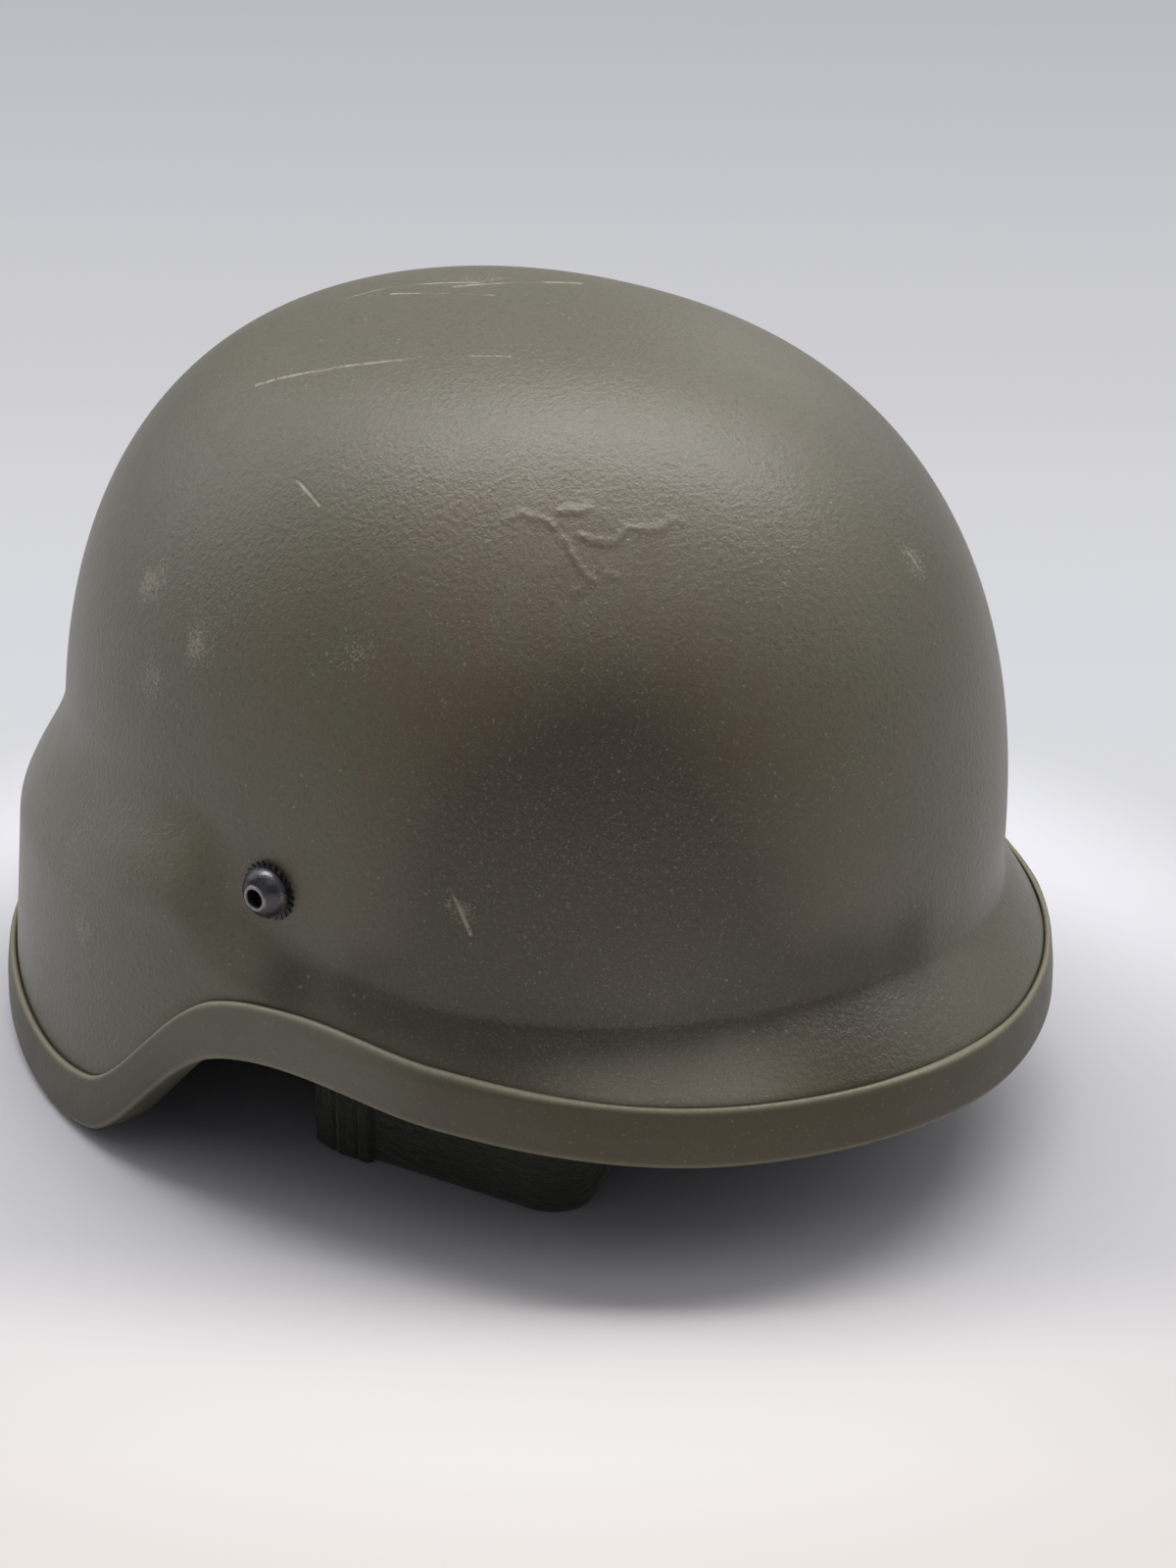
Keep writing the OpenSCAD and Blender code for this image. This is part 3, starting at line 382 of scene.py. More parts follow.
@dataclass(frozen=True)
class ShellPaint:
    """Olive paint with a fine grain, dark specks, brown drifts, rubbed spots and scratches; painted
    shade on the front and along the visor's crease, painted light on the crown, over the highlight
    and on the visor, and a dark inside that is partly painted shade.
    """

    slot: Slot = Slot.SHELL_PAINT
    olive: str = "605c4d"
    brown: str = "60503e"
    green: str = "585a47"
    # Dark tone for painted shade and for real dark specks.
    dusk: str = "3b3629"
    scuff: str = "b3aa98"
    # Pale tone for painted light.
    painted_light: str = "8d8778"
    # Dark paint of the inside, darkened further as painted shade.
    inside: str = "151514"
    rough: float = 0.37
    relief: float = 0.0011
    scratches: tuple[tuple[Point, Point, float], ...] = (
        ((-62.3, 24.6, 177.2), (-55.7, 7.0, 183.0), 0.0006),
        ((-55.7, 7.0, 183.0), (-46.1, -10.4, 187.5), 0.0005),
        ((-46.1, -10.4, 187.5), (-32.1, -32.2, 190.2), 0.0004),
        ((-27.7, 35.3, 190.4), (-17.8, 29.2, 192.9), 0.0005),
        ((-17.8, 29.2, 192.9), (-4.0, 13.0, 195.0), 0.0006),
        ((-10.0, 14.0, 194.7), (15.4, -2.2, 194.7), 0.0009),
        ((-22.2, 23.6, 192.9), (-10.0, 0.0, 195.0), 0.0005),
        ((-78.2, -13.0, 165.6), (-79.8, -22.5, 162.5), 0.0005),
        ((-88.6, -78.5, 90.5), (-86.4, -82.6, 80.5), 0.0005),
        ((20.0, -107.5, 154.5), (23.5, -110, 146), 0.0006),
        ((-36.0, -124.9, 68.3), (-25.0, -128.2, 69.6), 0.0004),
    )

    @staticmethod
    def _far(tree: Weaver, place: Wire, start: Point, end: Point) -> Wire:
        """Distance from the line between two points on the shell.

        Args:
            tree: the material.
            place: coordinates in metres.
            start: first point in millimetres.
            end: last point in millimetres.

        Returns:
            The distance in metres.
        """
        a = Vector(start) * MM
        run = Vector(end) * MM - a
        away = tree.vector("SUBTRACT", place, tuple(a))
        along = tree.vector("DOT_PRODUCT", away, tuple(run / run.length_squared))
        foot = tree.vector("SCALE", tuple(run), scale=along.clip())
        return tree.vector("LENGTH", tree.vector("SUBTRACT", away, foot))

    @staticmethod
    def _wavy(tree: Weaver, scale: float, reach: float) -> Wire:
        """Object coordinates shaken by noise.

        Args:
            tree: the material.
            scale: repeats of the noise per metre.
            reach: largest shift in metres.

        Returns:
            The coordinates.
        """
        inputs = {"Vector": tree.place(), "Scale": scale, "Detail": 3.0}
        noise = tree.node("ShaderNodeTexNoise", inputs=inputs, out="Color")
        shift = tree.vector("SUBTRACT", noise, (0.5, 0.5, 0.5))
        return tree.vector("ADD", tree.place(), tree.vector("SCALE", shift, scale=2 * reach))

    def make(self) -> bpy.types.Material:
        """Builds the material; scales are repeats per metre."""
        tree = Weaver(self.slot.value)
        place = tree.place()
        drift = tree.noise(place, 11.0, 3.0, 0.55, 0.4)
        mottle = tree.noise(place, 80.0, 4.0, 0.65)
        grain = tree.noise(place, 720.0, 3.0, 0.6)
        fleck = tree.noise(place, 950.0, 3.0, 0.6)
        grit = tree.noise(place, 2100.0, 2.0, 0.6)
        warm = (tree.attribute("brown") + (drift - 0.5) * 0.7).clip()
        colour = tree.blend(linear(self.olive), linear(self.brown), warm)
        colour = tree.blend(colour, linear(self.green), mottle.between(0.42, 0.64) * 0.4)
        # Painted light: paler over the broad highlight, on the visor shelf and towards the crown's
        # top.
        painted_light = tree.near((-42, -80, 168)).between(0.075, 0.015) * 0.30
        painted_light = painted_light.top(tree.near((-62, -121, 50)).between(0.044, 0.012) * 0.8)
        painted_light = painted_light.top(tree.axes(place)[2].between(0.165, 0.196) * 0.20)
        colour = tree.blend(colour, linear(self.painted_light), painted_light)
        # Painted shade from the mesh's mask, on the front and along the visor's crease, with real
        # dark specks from grit and grain.
        dusk = tree.attribute("dusk") * (0.60 + drift * 0.5) + (grit - 0.5) * 0.6
        dusk = dusk.top(grain.between(0.54, 0.72) * 0.34)
        colour = tree.blend(colour, linear(self.dusk), dusk.clip())
        chips = tree.noise(place, 1500.0, 3.0, 0.75)
        worn = tree.attribute("worn") * (mottle * 0.9 - 0.20)
        rubbed = (chips + worn).between(0.67, 0.78)
        dots = tree.cells(place, 330.0).between(0.17, 0.08) * mottle.between(0.50, 0.62)
        wavy = self._wavy(tree, 60.0, 0.0009)
        lines = None
        for start, end, width in self.scratches:
            line = self._far(tree, wavy, start, end).between(width * 1.5, width * 0.4)
            lines = line if lines is None else lines.top(line)
        lines = lines * (0.12 + mottle.between(0.42, 0.56) * 0.88) * fleck.between(0.30, 0.46)
        pale = (rubbed * 0.38).top(lines * 0.66).top(dots * 0.26)
        pale = pale.top(chips.between(0.57, 0.72) * (0.15 + warm * 0.23))
        colour = tree.blend(colour, linear(self.scuff), pale)
        # The inside: dark paint, darkened further as painted shade.
        inner = tree.attribute("inner")
        colour = tree.blend(colour, linear(self.inside), inner)
        rough = self.rough + (mottle - 0.5) * 0.08 + pale * 0.25 + inner * 0.35
        height = (grain * 0.22 + fleck * 0.08 + grit * 0.06 - lines * 0.25 - rubbed * 0.06
                  + dots * 0.08)
        return tree.finish(colour, rough, height, self.relief)


@dataclass(frozen=True)
class EdgeRubber:
    """Olive rubber of the edge trim, smoother along its lip; paler there as a painted highlight,
    darker and browner at the front partly as painted shade, and paler at one notch as painted
    light.
    """

    slot: Slot = Slot.EDGE_RUBBER
    body: str = "524e3e"
    cool: str = "4a473a"
    # Browner front tone, partly real tone and partly painted shade.
    front: str = "463b26"
    # Pale tone for painted light at one notch.
    notch_light: str = "6b685c"
    # Paler tone for real nicks and specks and for the painted highlight along the lip.
    worn: str = "a09a80"
    rough: float = 0.50
    relief: float = 0.0004

    def make(self) -> bpy.types.Material:
        """Builds the material."""
        tree = Weaver(self.slot.value)
        place = tree.place()
        cloud = tree.noise(place, 26.0, 3.0, 0.6).between(0.4, 0.7)
        dust = tree.noise(place, 900.0, 3.0, 0.7)
        colour = tree.blend(linear(self.body), linear(self.cool), cloud)
        # Darker and browner at the front: partly its own tone, partly painted shade.
        shade_and_brown_ahead = tree.near((-52, -126, 34)).between(0.085, 0.03)
        colour = tree.blend(colour, linear(self.front), shade_and_brown_ahead * 0.85)
        # Paler at one notch: painted light.
        notch_light = tree.near((-108, -42, 52)).between(0.05, 0.015)
        colour = tree.blend(colour, linear(self.notch_light), notch_light * 0.6)
        # Painted highlight along the top lip and the bottom edge, mixed with real dust specks and
        # nicks.
        lip = tree.attribute("lip") * (0.45 + dust * 0.7)
        pale = (lip * 0.75).top(dust.between(0.60, 0.72) * 0.22)
        nick = tree.cells(place, 34.0).between(0.075, 0.02)
        nick = nick * tree.noise(place, 14.0, 2.0).between(0.55, 0.66)
        pale = pale.top(nick * 0.5)
        colour = tree.blend(colour, linear(self.worn), pale.clip())
        height = tree.noise(place, 700.0, 3.0, 0.6) * 0.35 - nick * 0.8
        return tree.finish(colour, self.rough + cloud * 0.06 - lip * 0.1, height, self.relief)


class Metal(Enum):
    """Metals of the small fittings: slot, body colour, rubbed colour and roughness."""

    DARK = (Slot.DARK_STEEL, "45454a", "a3a0a0", 0.27)
    PLAIN = (Slot.PLAIN_STEEL, "7a7b7a", "b2b1ad", 0.33)


@dataclass(frozen=True)
class FittingMetal:
    """Steel of a fitting: dark phosphated or plain, rubbed brighter in places."""

    kind: Metal
    relief: float = 0.00006

    @property
    def slot(self) -> Slot:
        """The metal's slot."""
        return self.kind.value[0]

    def make(self) -> bpy.types.Material:
        """Builds the material."""
        slot, body, bright, rough = self.kind.value
        tree = Weaver(slot.value)
        place = tree.place()
        cloud = tree.noise(place, 260.0, 4.0, 0.6).between(0.42, 0.68)
        rub = tree.noise(place, 900.0, 3.0, 0.7).between(0.58, 0.72)
        rubbed = (rub * 0.25 + cloud * 0.08).top(tree.attribute("lip") * 0.75)
        colour = tree.blend(linear(body), linear(bright), rubbed)
        height = tree.noise(place, 2200.0, 3.0, 0.6)
        return tree.finish(colour, rough + cloud * 0.12, height, self.relief, metal=0.85)


@dataclass(frozen=True)
class MouldedPlastic:
    """Moulded black plastic or rubber with a fine spark-eroded grain."""

    slot: Slot = Slot.BLACK_PLASTIC
    body: str = "232427"
    dust: str = "3c3d3d"
    rough: float = 0.5
    relief: float = 0.00012

    def make(self) -> bpy.types.Material:
        """Builds the material."""
        tree = Weaver(self.slot.value)
        place = tree.place()
        grain = tree.noise(place, 1800.0, 2.0, 0.5)
        dust = tree.noise(place, 120.0, 4.0, 0.65).between(0.5, 0.75)
        colour = tree.blend(linear(self.body), linear(self.dust), dust * 0.35)
        return tree.finish(colour, self.rough + dust * 0.12, grain, self.relief)


@dataclass(frozen=True)
class StrapWeave:
    """Ribbed olive webbing that follows a strap's own length and width."""

    slot: Slot = Slot.WEBBING
    body: str = "3f4334"
    light: str = "565a48"
    gap: str = "2c2f24"
    pick: float = 1150.0
    rib: float = 520.0
    rough: float = 0.82
    relief: float = 0.00035

    def make(self) -> bpy.types.Material:
        """Builds the material."""
        tree = Weaver(self.slot.value)
        along, across = tree.strip()
        turn = 2.0 * math.pi
        warp = (across * (self.rib * turn)).sine()
        weft = (along * (self.pick * turn) + warp * 1.2).sine()
        weave = (warp * 0.5 + 0.5) * 0.6 + (weft * 0.5 + 0.5) * 0.4
        fuzz = tree.noise(tree.place(), 1900.0, 3.0, 0.6)
        cloud = tree.noise(tree.place(), 50.0, 3.0, 0.6).between(0.4, 0.7)
        colour = tree.blend(linear(self.gap), linear(self.light), weave * 0.75 + fuzz * 0.15)
        colour = tree.blend(colour, linear(self.body), 0.45 + cloud * 0.2)
        return tree.finish(colour, self.rough, weave * 0.8 + fuzz * 0.3, self.relief, sheen=0.25)


@dataclass(frozen=True)
class BandSuede:
    """Dark suede of the headband: cross grain along its length and two rows of stitches."""

    slot: Slot = Slot.BAND_LEATHER
    body: str = "2b2c23"
    pale: str = "45463a"
    deep: str = "20211a"
    yarn: str = "4a4a3c"
    stitches: float = 260.0
    rough: float = 0.88
    relief: float = 0.0009

    def make(self) -> bpy.types.Material:
        """Builds the material."""
        tree = Weaver(self.slot.value)
        along, across = tree.strip()
        lines = tree.node("ShaderNodeCombineXYZ", inputs={0: along * 0.22, 1: across, 2: 0.0})
        streak = tree.noise(lines, 900.0, 4.0, 0.65)
        nap = tree.noise(tree.place(), 1400.0, 3.0, 0.7)
        cloud = tree.noise(tree.place(), 38.0, 3.0, 0.6).between(0.40, 0.68)
        colour = tree.blend(linear(self.deep), linear(self.pale), streak.between(0.35, 0.75) * 0.7)
        colour = tree.blend(colour, linear(self.body), 0.35 + cloud * 0.3)
        row = tree.attribute("seam")
        thread = row * (along * (2.0 * math.pi * self.stitches)).sine().between(-0.2, 0.4)
        colour = tree.blend(colour, linear(self.yarn), thread * 0.5)
        height = streak * 0.9 + nap * 0.35 - row * 0.4 + thread * 0.5
        return tree.finish(colour, self.rough, height, self.relief, sheen=0.2)


@dataclass(frozen=True)
class PadCloth:
    """Knitted cloth over foam."""

    slot: Slot = Slot.PAD_CLOTH
    body: str = "2a2b27"
    deep: str = "1c1d1a"
    light: str = "424339"
    rough: float = 0.88
    relief: float = 0.0004

    def make(self) -> bpy.types.Material:
        """Builds the material."""
        tree = Weaver(self.slot.value)
        place = tree.place()
        stitch = tree.node("ShaderNodeMapping", inputs={0: place, 3: (1.0, 1.0, 0.75)})
        knit = tree.cells(stitch, 900.0)
        fuzz = tree.noise(place, 2200.0, 3.0, 0.6)
        cloud = tree.noise(place, 60.0, 3.0, 0.6)
        colour = tree.blend(linear(self.deep), linear(self.light), knit * 0.6 + fuzz * 0.3)
        colour = tree.blend(colour, linear(self.body), 0.3 + cloud * 0.3)
        return tree.finish(colour, self.rough, knit * 0.8 + fuzz * 0.3, self.relief, sheen=0.3)


class Finishes:
    """All finishes of the helmet, made once, by the record's slots."""

    def __init__(self) -> None:
        """Makes every material."""
        makers = (ShellPaint(), EdgeRubber(), FittingMetal(Metal.DARK), FittingMetal(Metal.PLAIN),
                  MouldedPlastic(), MouldedPlastic(Slot.BLACK_RUBBER, "1d1e1f", rough=0.7),
                  StrapWeave(), BandSuede(), PadCloth())
        self.made = {maker.slot: maker.make() for maker in makers}

    def dress(self, piece: bpy.types.Object, slot: Slot) -> None:
        """Gives a piece its only material, which is the slot's finish."""
        piece.data.materials.clear()
        piece.data.materials.append(self.made[slot])


# ---------------------------------------------------------------- meshes


def mapped_sheet(name: str, columns: int, rows: int, place: Callable, closed: bool = False,
                 capped: bool = False, marks: Optional[dict] = None) -> bpy.types.Object:
    """Lays a grid over a surface that a function of two shares describes.

    Args:
        name: the new object's name.
        columns: faces along the first share.
        rows: faces along the second share.
        place: takes arrays of both shares, 0 to 1, and returns points in millimetres.
        closed: joins the last row to the first, as round a tube.
        capped: closes the tube's two ends.
        marks: masks kept as attributes, each a function of the two shares.

    Returns:
        The object, with its shares kept as the attributes "run" and "turn".
    """
    bm = bmesh.new()
    run_layer = bm.verts.layers.float.new("run")
    turn_layer = bm.verts.layers.float.new("turn")
    layers = {key: bm.verts.layers.float.new(key) for key in marks or {}}
    uv = bm.loops.layers.uv.new("strap")
    bmesh.ops.create_grid(bm, x_segments=columns, y_segments=rows, size=1.0)
    for v in bm.verts:
        v[run_layer] = (v.co.x + 1) / 2
        v[turn_layer] = (v.co.y + 1) / 2
    run = np.array([v[run_layer] for v in bm.verts])
    turn = np.array([v[turn_layer] for v in bm.verts])
    for key, layer in layers.items():
        for v, value in zip(bm.verts, marks[key](run, turn)):
            v[layer] = value
    points = place(run, turn) * MM
    for v, co in zip(bm.verts, points):
        v.co = co
    length, width = sheet_reach(place, closed)
    for face in bm.faces:
        for loop in face.loops:
            loop[uv].uv = (loop.vert[run_layer] * length, loop.vert[turn_layer] * width)
    if closed:
        bmesh.ops.remove_doubles(bm, verts=bm.verts, dist=1e-6)
    if capped:
        rims = [e for e in bm.edges if e.is_boundary]
        bmesh.ops.holes_fill(bm, edges=rims, sides=0)
    bmesh.ops.recalc_face_normals(bm, faces=bm.faces)
    return as_object(bm, name)


def sheet_reach(place: Callable, closed: bool) -> tuple[float, float]:
    """Length and width of a mapped sheet in metres, measured on its middle lines.

    Args:
        place: the sheet's function.
        closed: whether the second share goes round a tube.

    Returns:
        Length and width.
    """
    share = np.linspace(0, 1, 60)
    half = np.full(60, 0.25 if closed else 0.5)
    along = place(share, half)
    across = place(np.full(60, 0.5), share)
    total = [np.linalg.norm(np.diff(line, axis=0), axis=1).sum() * MM for line in (along, across)]
    return float(total[0]), float(total[1])


def as_object(bm: bmesh.types.BMesh, name: str) -> bpy.types.Object:
    """Turns a finished bmesh into a smooth object at the origin.

    Args:
        bm: the mesh, which is freed.
        name: name of the object and its mesh.

    Returns:
        The object, linked to the scene.
    """
    mesh = bpy.data.meshes.new(name)
    bm.to_mesh(mesh)
    bm.free()
    for face in mesh.polygons:
        face.use_smooth = True
    made = bpy.data.objects.new(name, mesh)
    bpy.context.scene.collection.objects.link(made)
    return made


def crisp(piece: bpy.types.Object, angle: float) -> None:
    """Keeps edges sharper than an angle, in degrees, crisp while the rest stays smooth."""
    piece.data.set_sharp_from_angle(angle=math.radians(angle))


def rounded_copy(node: str, width: float) -> bpy.types.Object:
    """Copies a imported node, merges it and rounds its sharp edges.

    Args:
        node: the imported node.
        width: bevel width in millimetres.

    Returns:
        The copy, named after the node.
    """
    flat, sharp, welded = math.radians(1.0), math.radians(38.0), 2e-6
    bm = bmesh.new()
    bm.from_mesh(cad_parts[node].data)
    bmesh.ops.transform(bm, matrix=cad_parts[node].matrix_world, verts=bm.verts)
    bmesh.ops.remove_doubles(bm, verts=bm.verts, dist=welded)
    bmesh.ops.dissolve_limit(bm, angle_limit=flat, verts=bm.verts, edges=bm.edges)
    edges = [e for e in bm.edges if len(e.link_faces) == 2 and e.calc_face_angle(0.0) > sharp]
    bmesh.ops.bevel(bm, geom=edges, offset=width * MM, offset_type="OFFSET", segments=2,
                    profile=0.5, affect="EDGES", clamp_overlap=True, material=-1)
    bmesh.ops.triangulate(bm, faces=[f for f in bm.faces if len(f.verts) > 4])
    made = as_object(bm, f"{node}_made")
    crisp(made, 34.0)
    return made


def set_down(bm: bmesh.types.BMesh, place: Matrix) -> None:
    """Moves a mesh in metres into a frame whose place is in millimetres."""
    scaled = place.copy()
    scaled.translation = place.translation * MM
    bmesh.ops.transform(bm, matrix=scaled, verts=bm.verts)


def spun(name: str, profile: Iterable[tuple[float, float]], place: Matrix) -> bpy.types.Object:
    """Turns an open profile that starts and ends on the axis once round z.

    Args:
        name: the object's name.
        profile: radius and height of each point, in millimetres.
        place: frame of the result in millimetres.

    Returns:
        The solid.
    """
    bm = bmesh.new()
    line = [bm.verts.new((r * MM, 0, z * MM)) for r, z in profile]
    edges = [bm.edges.new(pair) for pair in zip(line, line[1:])]
    bmesh.ops.spin(bm, geom=line + edges, cent=(0, 0, 0), axis=(0, 0, 1), dvec=(0, 0, 0),
                   angle=2 * math.pi, steps=96, use_merge=True)
    bmesh.ops.remove_doubles(bm, verts=bm.verts, dist=1e-7)
    bmesh.ops.recalc_face_normals(bm, faces=bm.faces)
    set_down(bm, place)
    return as_object(bm, name)


def softened(corners: Sequence[tuple[float, float]], radius: float, closed: bool = True,
             points: int = 4) -> np.ndarray:
    """Rounds the corners of an outline.

    Args:
        corners: its corners in millimetres.
        radius: length cut back along each side of a corner.
        closed: joins the last corner to the first.
        points: points across each round.

    Returns:
        The rounded outline as an array of points; a closed one ends where it starts.
    """
    pts = np.array(corners, float)
    count = len(pts)
    out = []
    for i in range(count):
        if not closed and i in (0, count - 1):
            out.append(pts[i])
            continue
        here = pts[i]
        ends = []
        for other in (pts[i - 1], pts[(i + 1) % count]):
            reach = np.linalg.norm(other - here)
            ends.append(here + (other - here) * min(radius, 0.45 * reach) / max(reach, 1e-9))
        for t in np.linspace(0, 1, points):
            out.append((1 - t) ** 2 * ends[0] + 2 * t * (1 - t) * here + t * t * ends[1])
    if closed:
        out.append(out[0])
    return np.array(out)


def along_line(points: np.ndarray, share: np.ndarray) -> np.ndarray:
    """Points at given shares of a line's length.

    Args:
        points: the line.
        share: values from 0 to 1.

    Returns:
        One point per share.
    """
    steps = np.linalg.norm(np.diff(points, axis=0), axis=1)
    reach = np.concatenate([[0], np.cumsum(steps)])
    reach /= reach[-1]
    return np.stack([np.interp(share, reach, points[:, k]) for k in range(points.shape[1])], 1)


def ribbon(name: str, path: np.ndarray, wide: np.ndarray, width: float, thick: float,
           columns: int) -> bpy.types.Object:
    """Lays a strap of soft rounded section along a path.

    Args:
        name: the object's name.
        path: middle line in millimetres.
        wide: direction of the width at each point.
        width: strap width.
        thick: strap thickness.
        columns: faces along it.

    Returns:
        The strap.
    """
    w, t = width / 2, thick / 2
    section = softened([(-w, -t), (w, -t), (w, t), (-w, t)], t * 0.9)
    dense = np.linspace(0, 1, 400)
    line = along_line(path, dense)
    broad = along_line(np.concatenate([path, wide], 1), dense)[:, 3:]
    broad /= np.linalg.norm(broad, axis=1, keepdims=True)
    tangent = np.gradient(line, axis=0)
    normal = np.cross(tangent, broad)
    normal /= np.linalg.norm(normal, axis=1, keepdims=True)

    def place(run: np.ndarray, turn: np.ndarray) -> np.ndarray:
        """Point of the strap's surface."""
        at = along_line(section, turn)
        mid, side, out = (np.stack([np.interp(run, dense, a[:, k]) for k in range(3)], 1)
                          for a in (line, broad, normal))
        return mid + side * at[:, :1] + out * at[:, 1:]

    made = mapped_sheet(name, columns, 44, place, closed=True, capped=True)
    crisp(made, 50.0)
    return made


def quarter(square: float, half_w: float, reach: float, foot: float, start: float,
            count: int) -> Half:
    """Quarter of a superellipse in plan, from its side to its middle.

    Args:
        square: its power, 2 for an ellipse.
        half_w: half of its width.
        reach: depth from its foot to its middle.
        foot: place of its widest points.
        start: angle of the first point in degrees.
        count: how many points.

    Returns:
        The points and the directions out of them.
    """
    n, t = square, np.radians(np.linspace(start, 90, count))
    x = half_w * np.abs(np.cos(t)) ** (2 / n)
    y = reach * np.sin(t) ** (2 / n)
    out = np.stack([(x / half_w) ** (n - 1) / half_w, (y / reach) ** (n - 1) / reach], 1)
    out /= np.linalg.norm(out, axis=1, keepdims=True)
    return np.stack([x, foot + y], 1), out


# ---------------------------------------------------------------- forms


def ease(t: np.ndarray) -> np.ndarray:
    """Smooth step from 0 to 1."""
    u = np.clip(t, 0, 1)
    return u * u * (3 - 2 * u)


@dataclass(frozen=True)
class HelmetForm:
    """Sizes of the shell in millimetres and the surface that they describe.

    The rim line, crease, out and fade are curves: pairs of an angle from the front and a value.
    """

    half_w: float = 110.5
    front: float = 130.0
    back: float = 134.0
    dome_h: float = 130.0
    foot_up: float = 65.05905
    splay: float = 0.09
    wall: float = 8.5
    lift: float = 2.55905
    dome_y: float = -2.0775
    trim_h: float = 15.0
    trim_t: float = 2.0
    bolt_angle: float = 72.1
    bolt_r: float = 111.647
    bolt_up: float = 80.5591
    seat_r: float = 9.2
    seat_run: float = 20.0
    steep: float = 76.0
    skin_end: float = 2.1
    square: float = 2.42
    square_swing: float = 0.1
    soft_from: float = 50.0
    soft_over: float = 25.0
    rim_line: tuple = ((0, 29.5), (25, 28.5), (50, 32.5), (77, 36), (98.5, 0), (140, 3), (180, 0))
    crease: tuple = ((0, 60), (35, 57.5), (55, 60.5), (67, 68.5), (85, 92.5), (110, 89.5),
                     (140, 86), (180, 76))
    out: tuple = ((0, 14.5), (20, 11), (40, 8), (60, 5), (85, 9.5), (110, 11), (140, 12.5),
                  (180, 12))
    fade: tuple = ((0, 16), (40, 13), (65, 18), (110, 34), (180, 27))
    fillet: float = 0.12

    @staticmethod
    def _curve(side: np.ndarray, stops: tuple) -> np.ndarray:
        """Smooth curve through stops, level at both ends.

        Args:
            side: angles from the front, 0 to 180 degrees.
            stops: pairs of angle and value.

        Returns:
            The values.
        """
        s, v = (np.array(c, float) for c in zip(*stops))
        slope = np.zeros(len(s))
        slope[1:-1] = (v[2:] - v[:-2]) / (s[2:] - s[:-2])
        i = np.clip(np.searchsorted(s, side) - 1, 0, len(s) - 2)
        h = s[i + 1] - s[i]
        t = (side - s[i]) / h
        t2, t3 = t * t, t * t * t
        return (v[i] * (1 - 3 * t2 + 2 * t3) + v[i + 1] * (3 * t2 - 2 * t3)
                + h * slope[i] * (t - 2 * t2 + t3) + h * slope[i + 1] * (t3 - t2))

    @staticmethod
    def _side(a: np.ndarray) -> np.ndarray:
        """Angle from the front on either side."""
        return np.where(a > 180, 360 - a, a)

    def rim(self, a: np.ndarray) -> np.ndarray:
        """Height of the rim at an angle from the front."""
        return self._curve(self._side(a), self.rim_line) + self.lift

    def foot(self, a: np.ndarray, cut: float) -> np.ndarray:
        """Radius of the dome's foot at an angle."""
        c = np.cos(np.radians(a))
        reach = np.where(c > 0, self.front, self.back) - cut
        across = np.sin(np.radians(a)) / (self.half_w - cut)
        return (across**2 + (c / reach) ** 2) ** -0.5

    def power(self, a: np.ndarray) -> np.ndarray:
        """How square the dome's section is at an angle."""
        return self.square + self.square_swing * np.cos(np.radians(2 * a))

    def flare(self, a: np.ndarray, z: np.ndarray) -> np.ndarray:
        """How far the visor, the ears and the nape stand off the dome."""
        side = self._side(a)
        drop = (self._curve(side, self.crease) + self.lift - z) / self._curve(side, self.fade)
        away = np.hypot(self.bolt_r * np.radians(side - self.bolt_angle), z - self.bolt_up)
        seat = ease((away - self.seat_r / 2) / self.seat_run)
        u = np.clip(drop, 0, 1)
        shelf = u * u * (1 + self.fillet) / (u + self.fillet)
        shelf = shelf * (1.2 - 0.2 * shelf)
        soft = ease((side - self.soft_from) / self.soft_over)
        rise = shelf * (1 - soft) + ease(drop) * soft
        return self._curve(side, self.out) * rise * seat

    def skin(self, a: np.ndarray, z: np.ndarray, cut: float = 0.0) -> np.ndarray:
        """Radius of the outer skin, or of the inner one with a cut of one wall."""
        m = self.power(a)
        u = np.clip((z - self.foot_up) / (self.dome_h - cut), 0, 1)
        low = self.foot(a, cut) + (self.foot_up - z) * self.splay
        high = self.foot(a, cut) * np.clip(1 - u**m, 0, 1) ** (1 / m)
        return np.where(z > self.foot_up, high, low) + self.flare(a, z)

    def polar(self, a: np.ndarray, r: np.ndarray, z: np.ndarray) -> np.ndarray:
        """Points from angle, radius and height."""
        t = np.radians(a)
        return np.stack([r * np.sin(t), self.dome_y - r * np.cos(t), z], 1)

    def skin_point(self, a: np.ndarray, share: np.ndarray, cut: float) -> np.ndarray:
        """Point on a meridian from the crown, share 0, to behind the trim, share 1.

        Args:
            a: angles from the front in degrees.
            share: place along the meridian.
            cut: 0 for the outer skin, one wall for the inner.

        Returns:
            The points.
        """
        cap, side = 0.42, 0.93
        m = self.power(a)
        tau = np.radians(self.steep) * np.clip(share / cap, 0, 1)
        height = self.foot_up + (self.dome_h - cut) * np.cos(tau) ** (2 / m)
        low = self.rim(a) + self.trim_h
        z = np.where(share <= cap, height,
                     height + (low - height) * np.clip((share - cap) / (side - cap), 0, 1))
        tail = (self.rim(a) + self.skin_end - low) * (share - side) / (1 - side)
        z = np.where(share > side, low + tail, z)
        cap_r = self.foot(a, cut) * np.sin(tau) ** (2 / m) + self.flare(a, z)
        r = np.where(share < cap, cap_r, self.skin(a, z, cut))
        return self.polar(a, r, z)


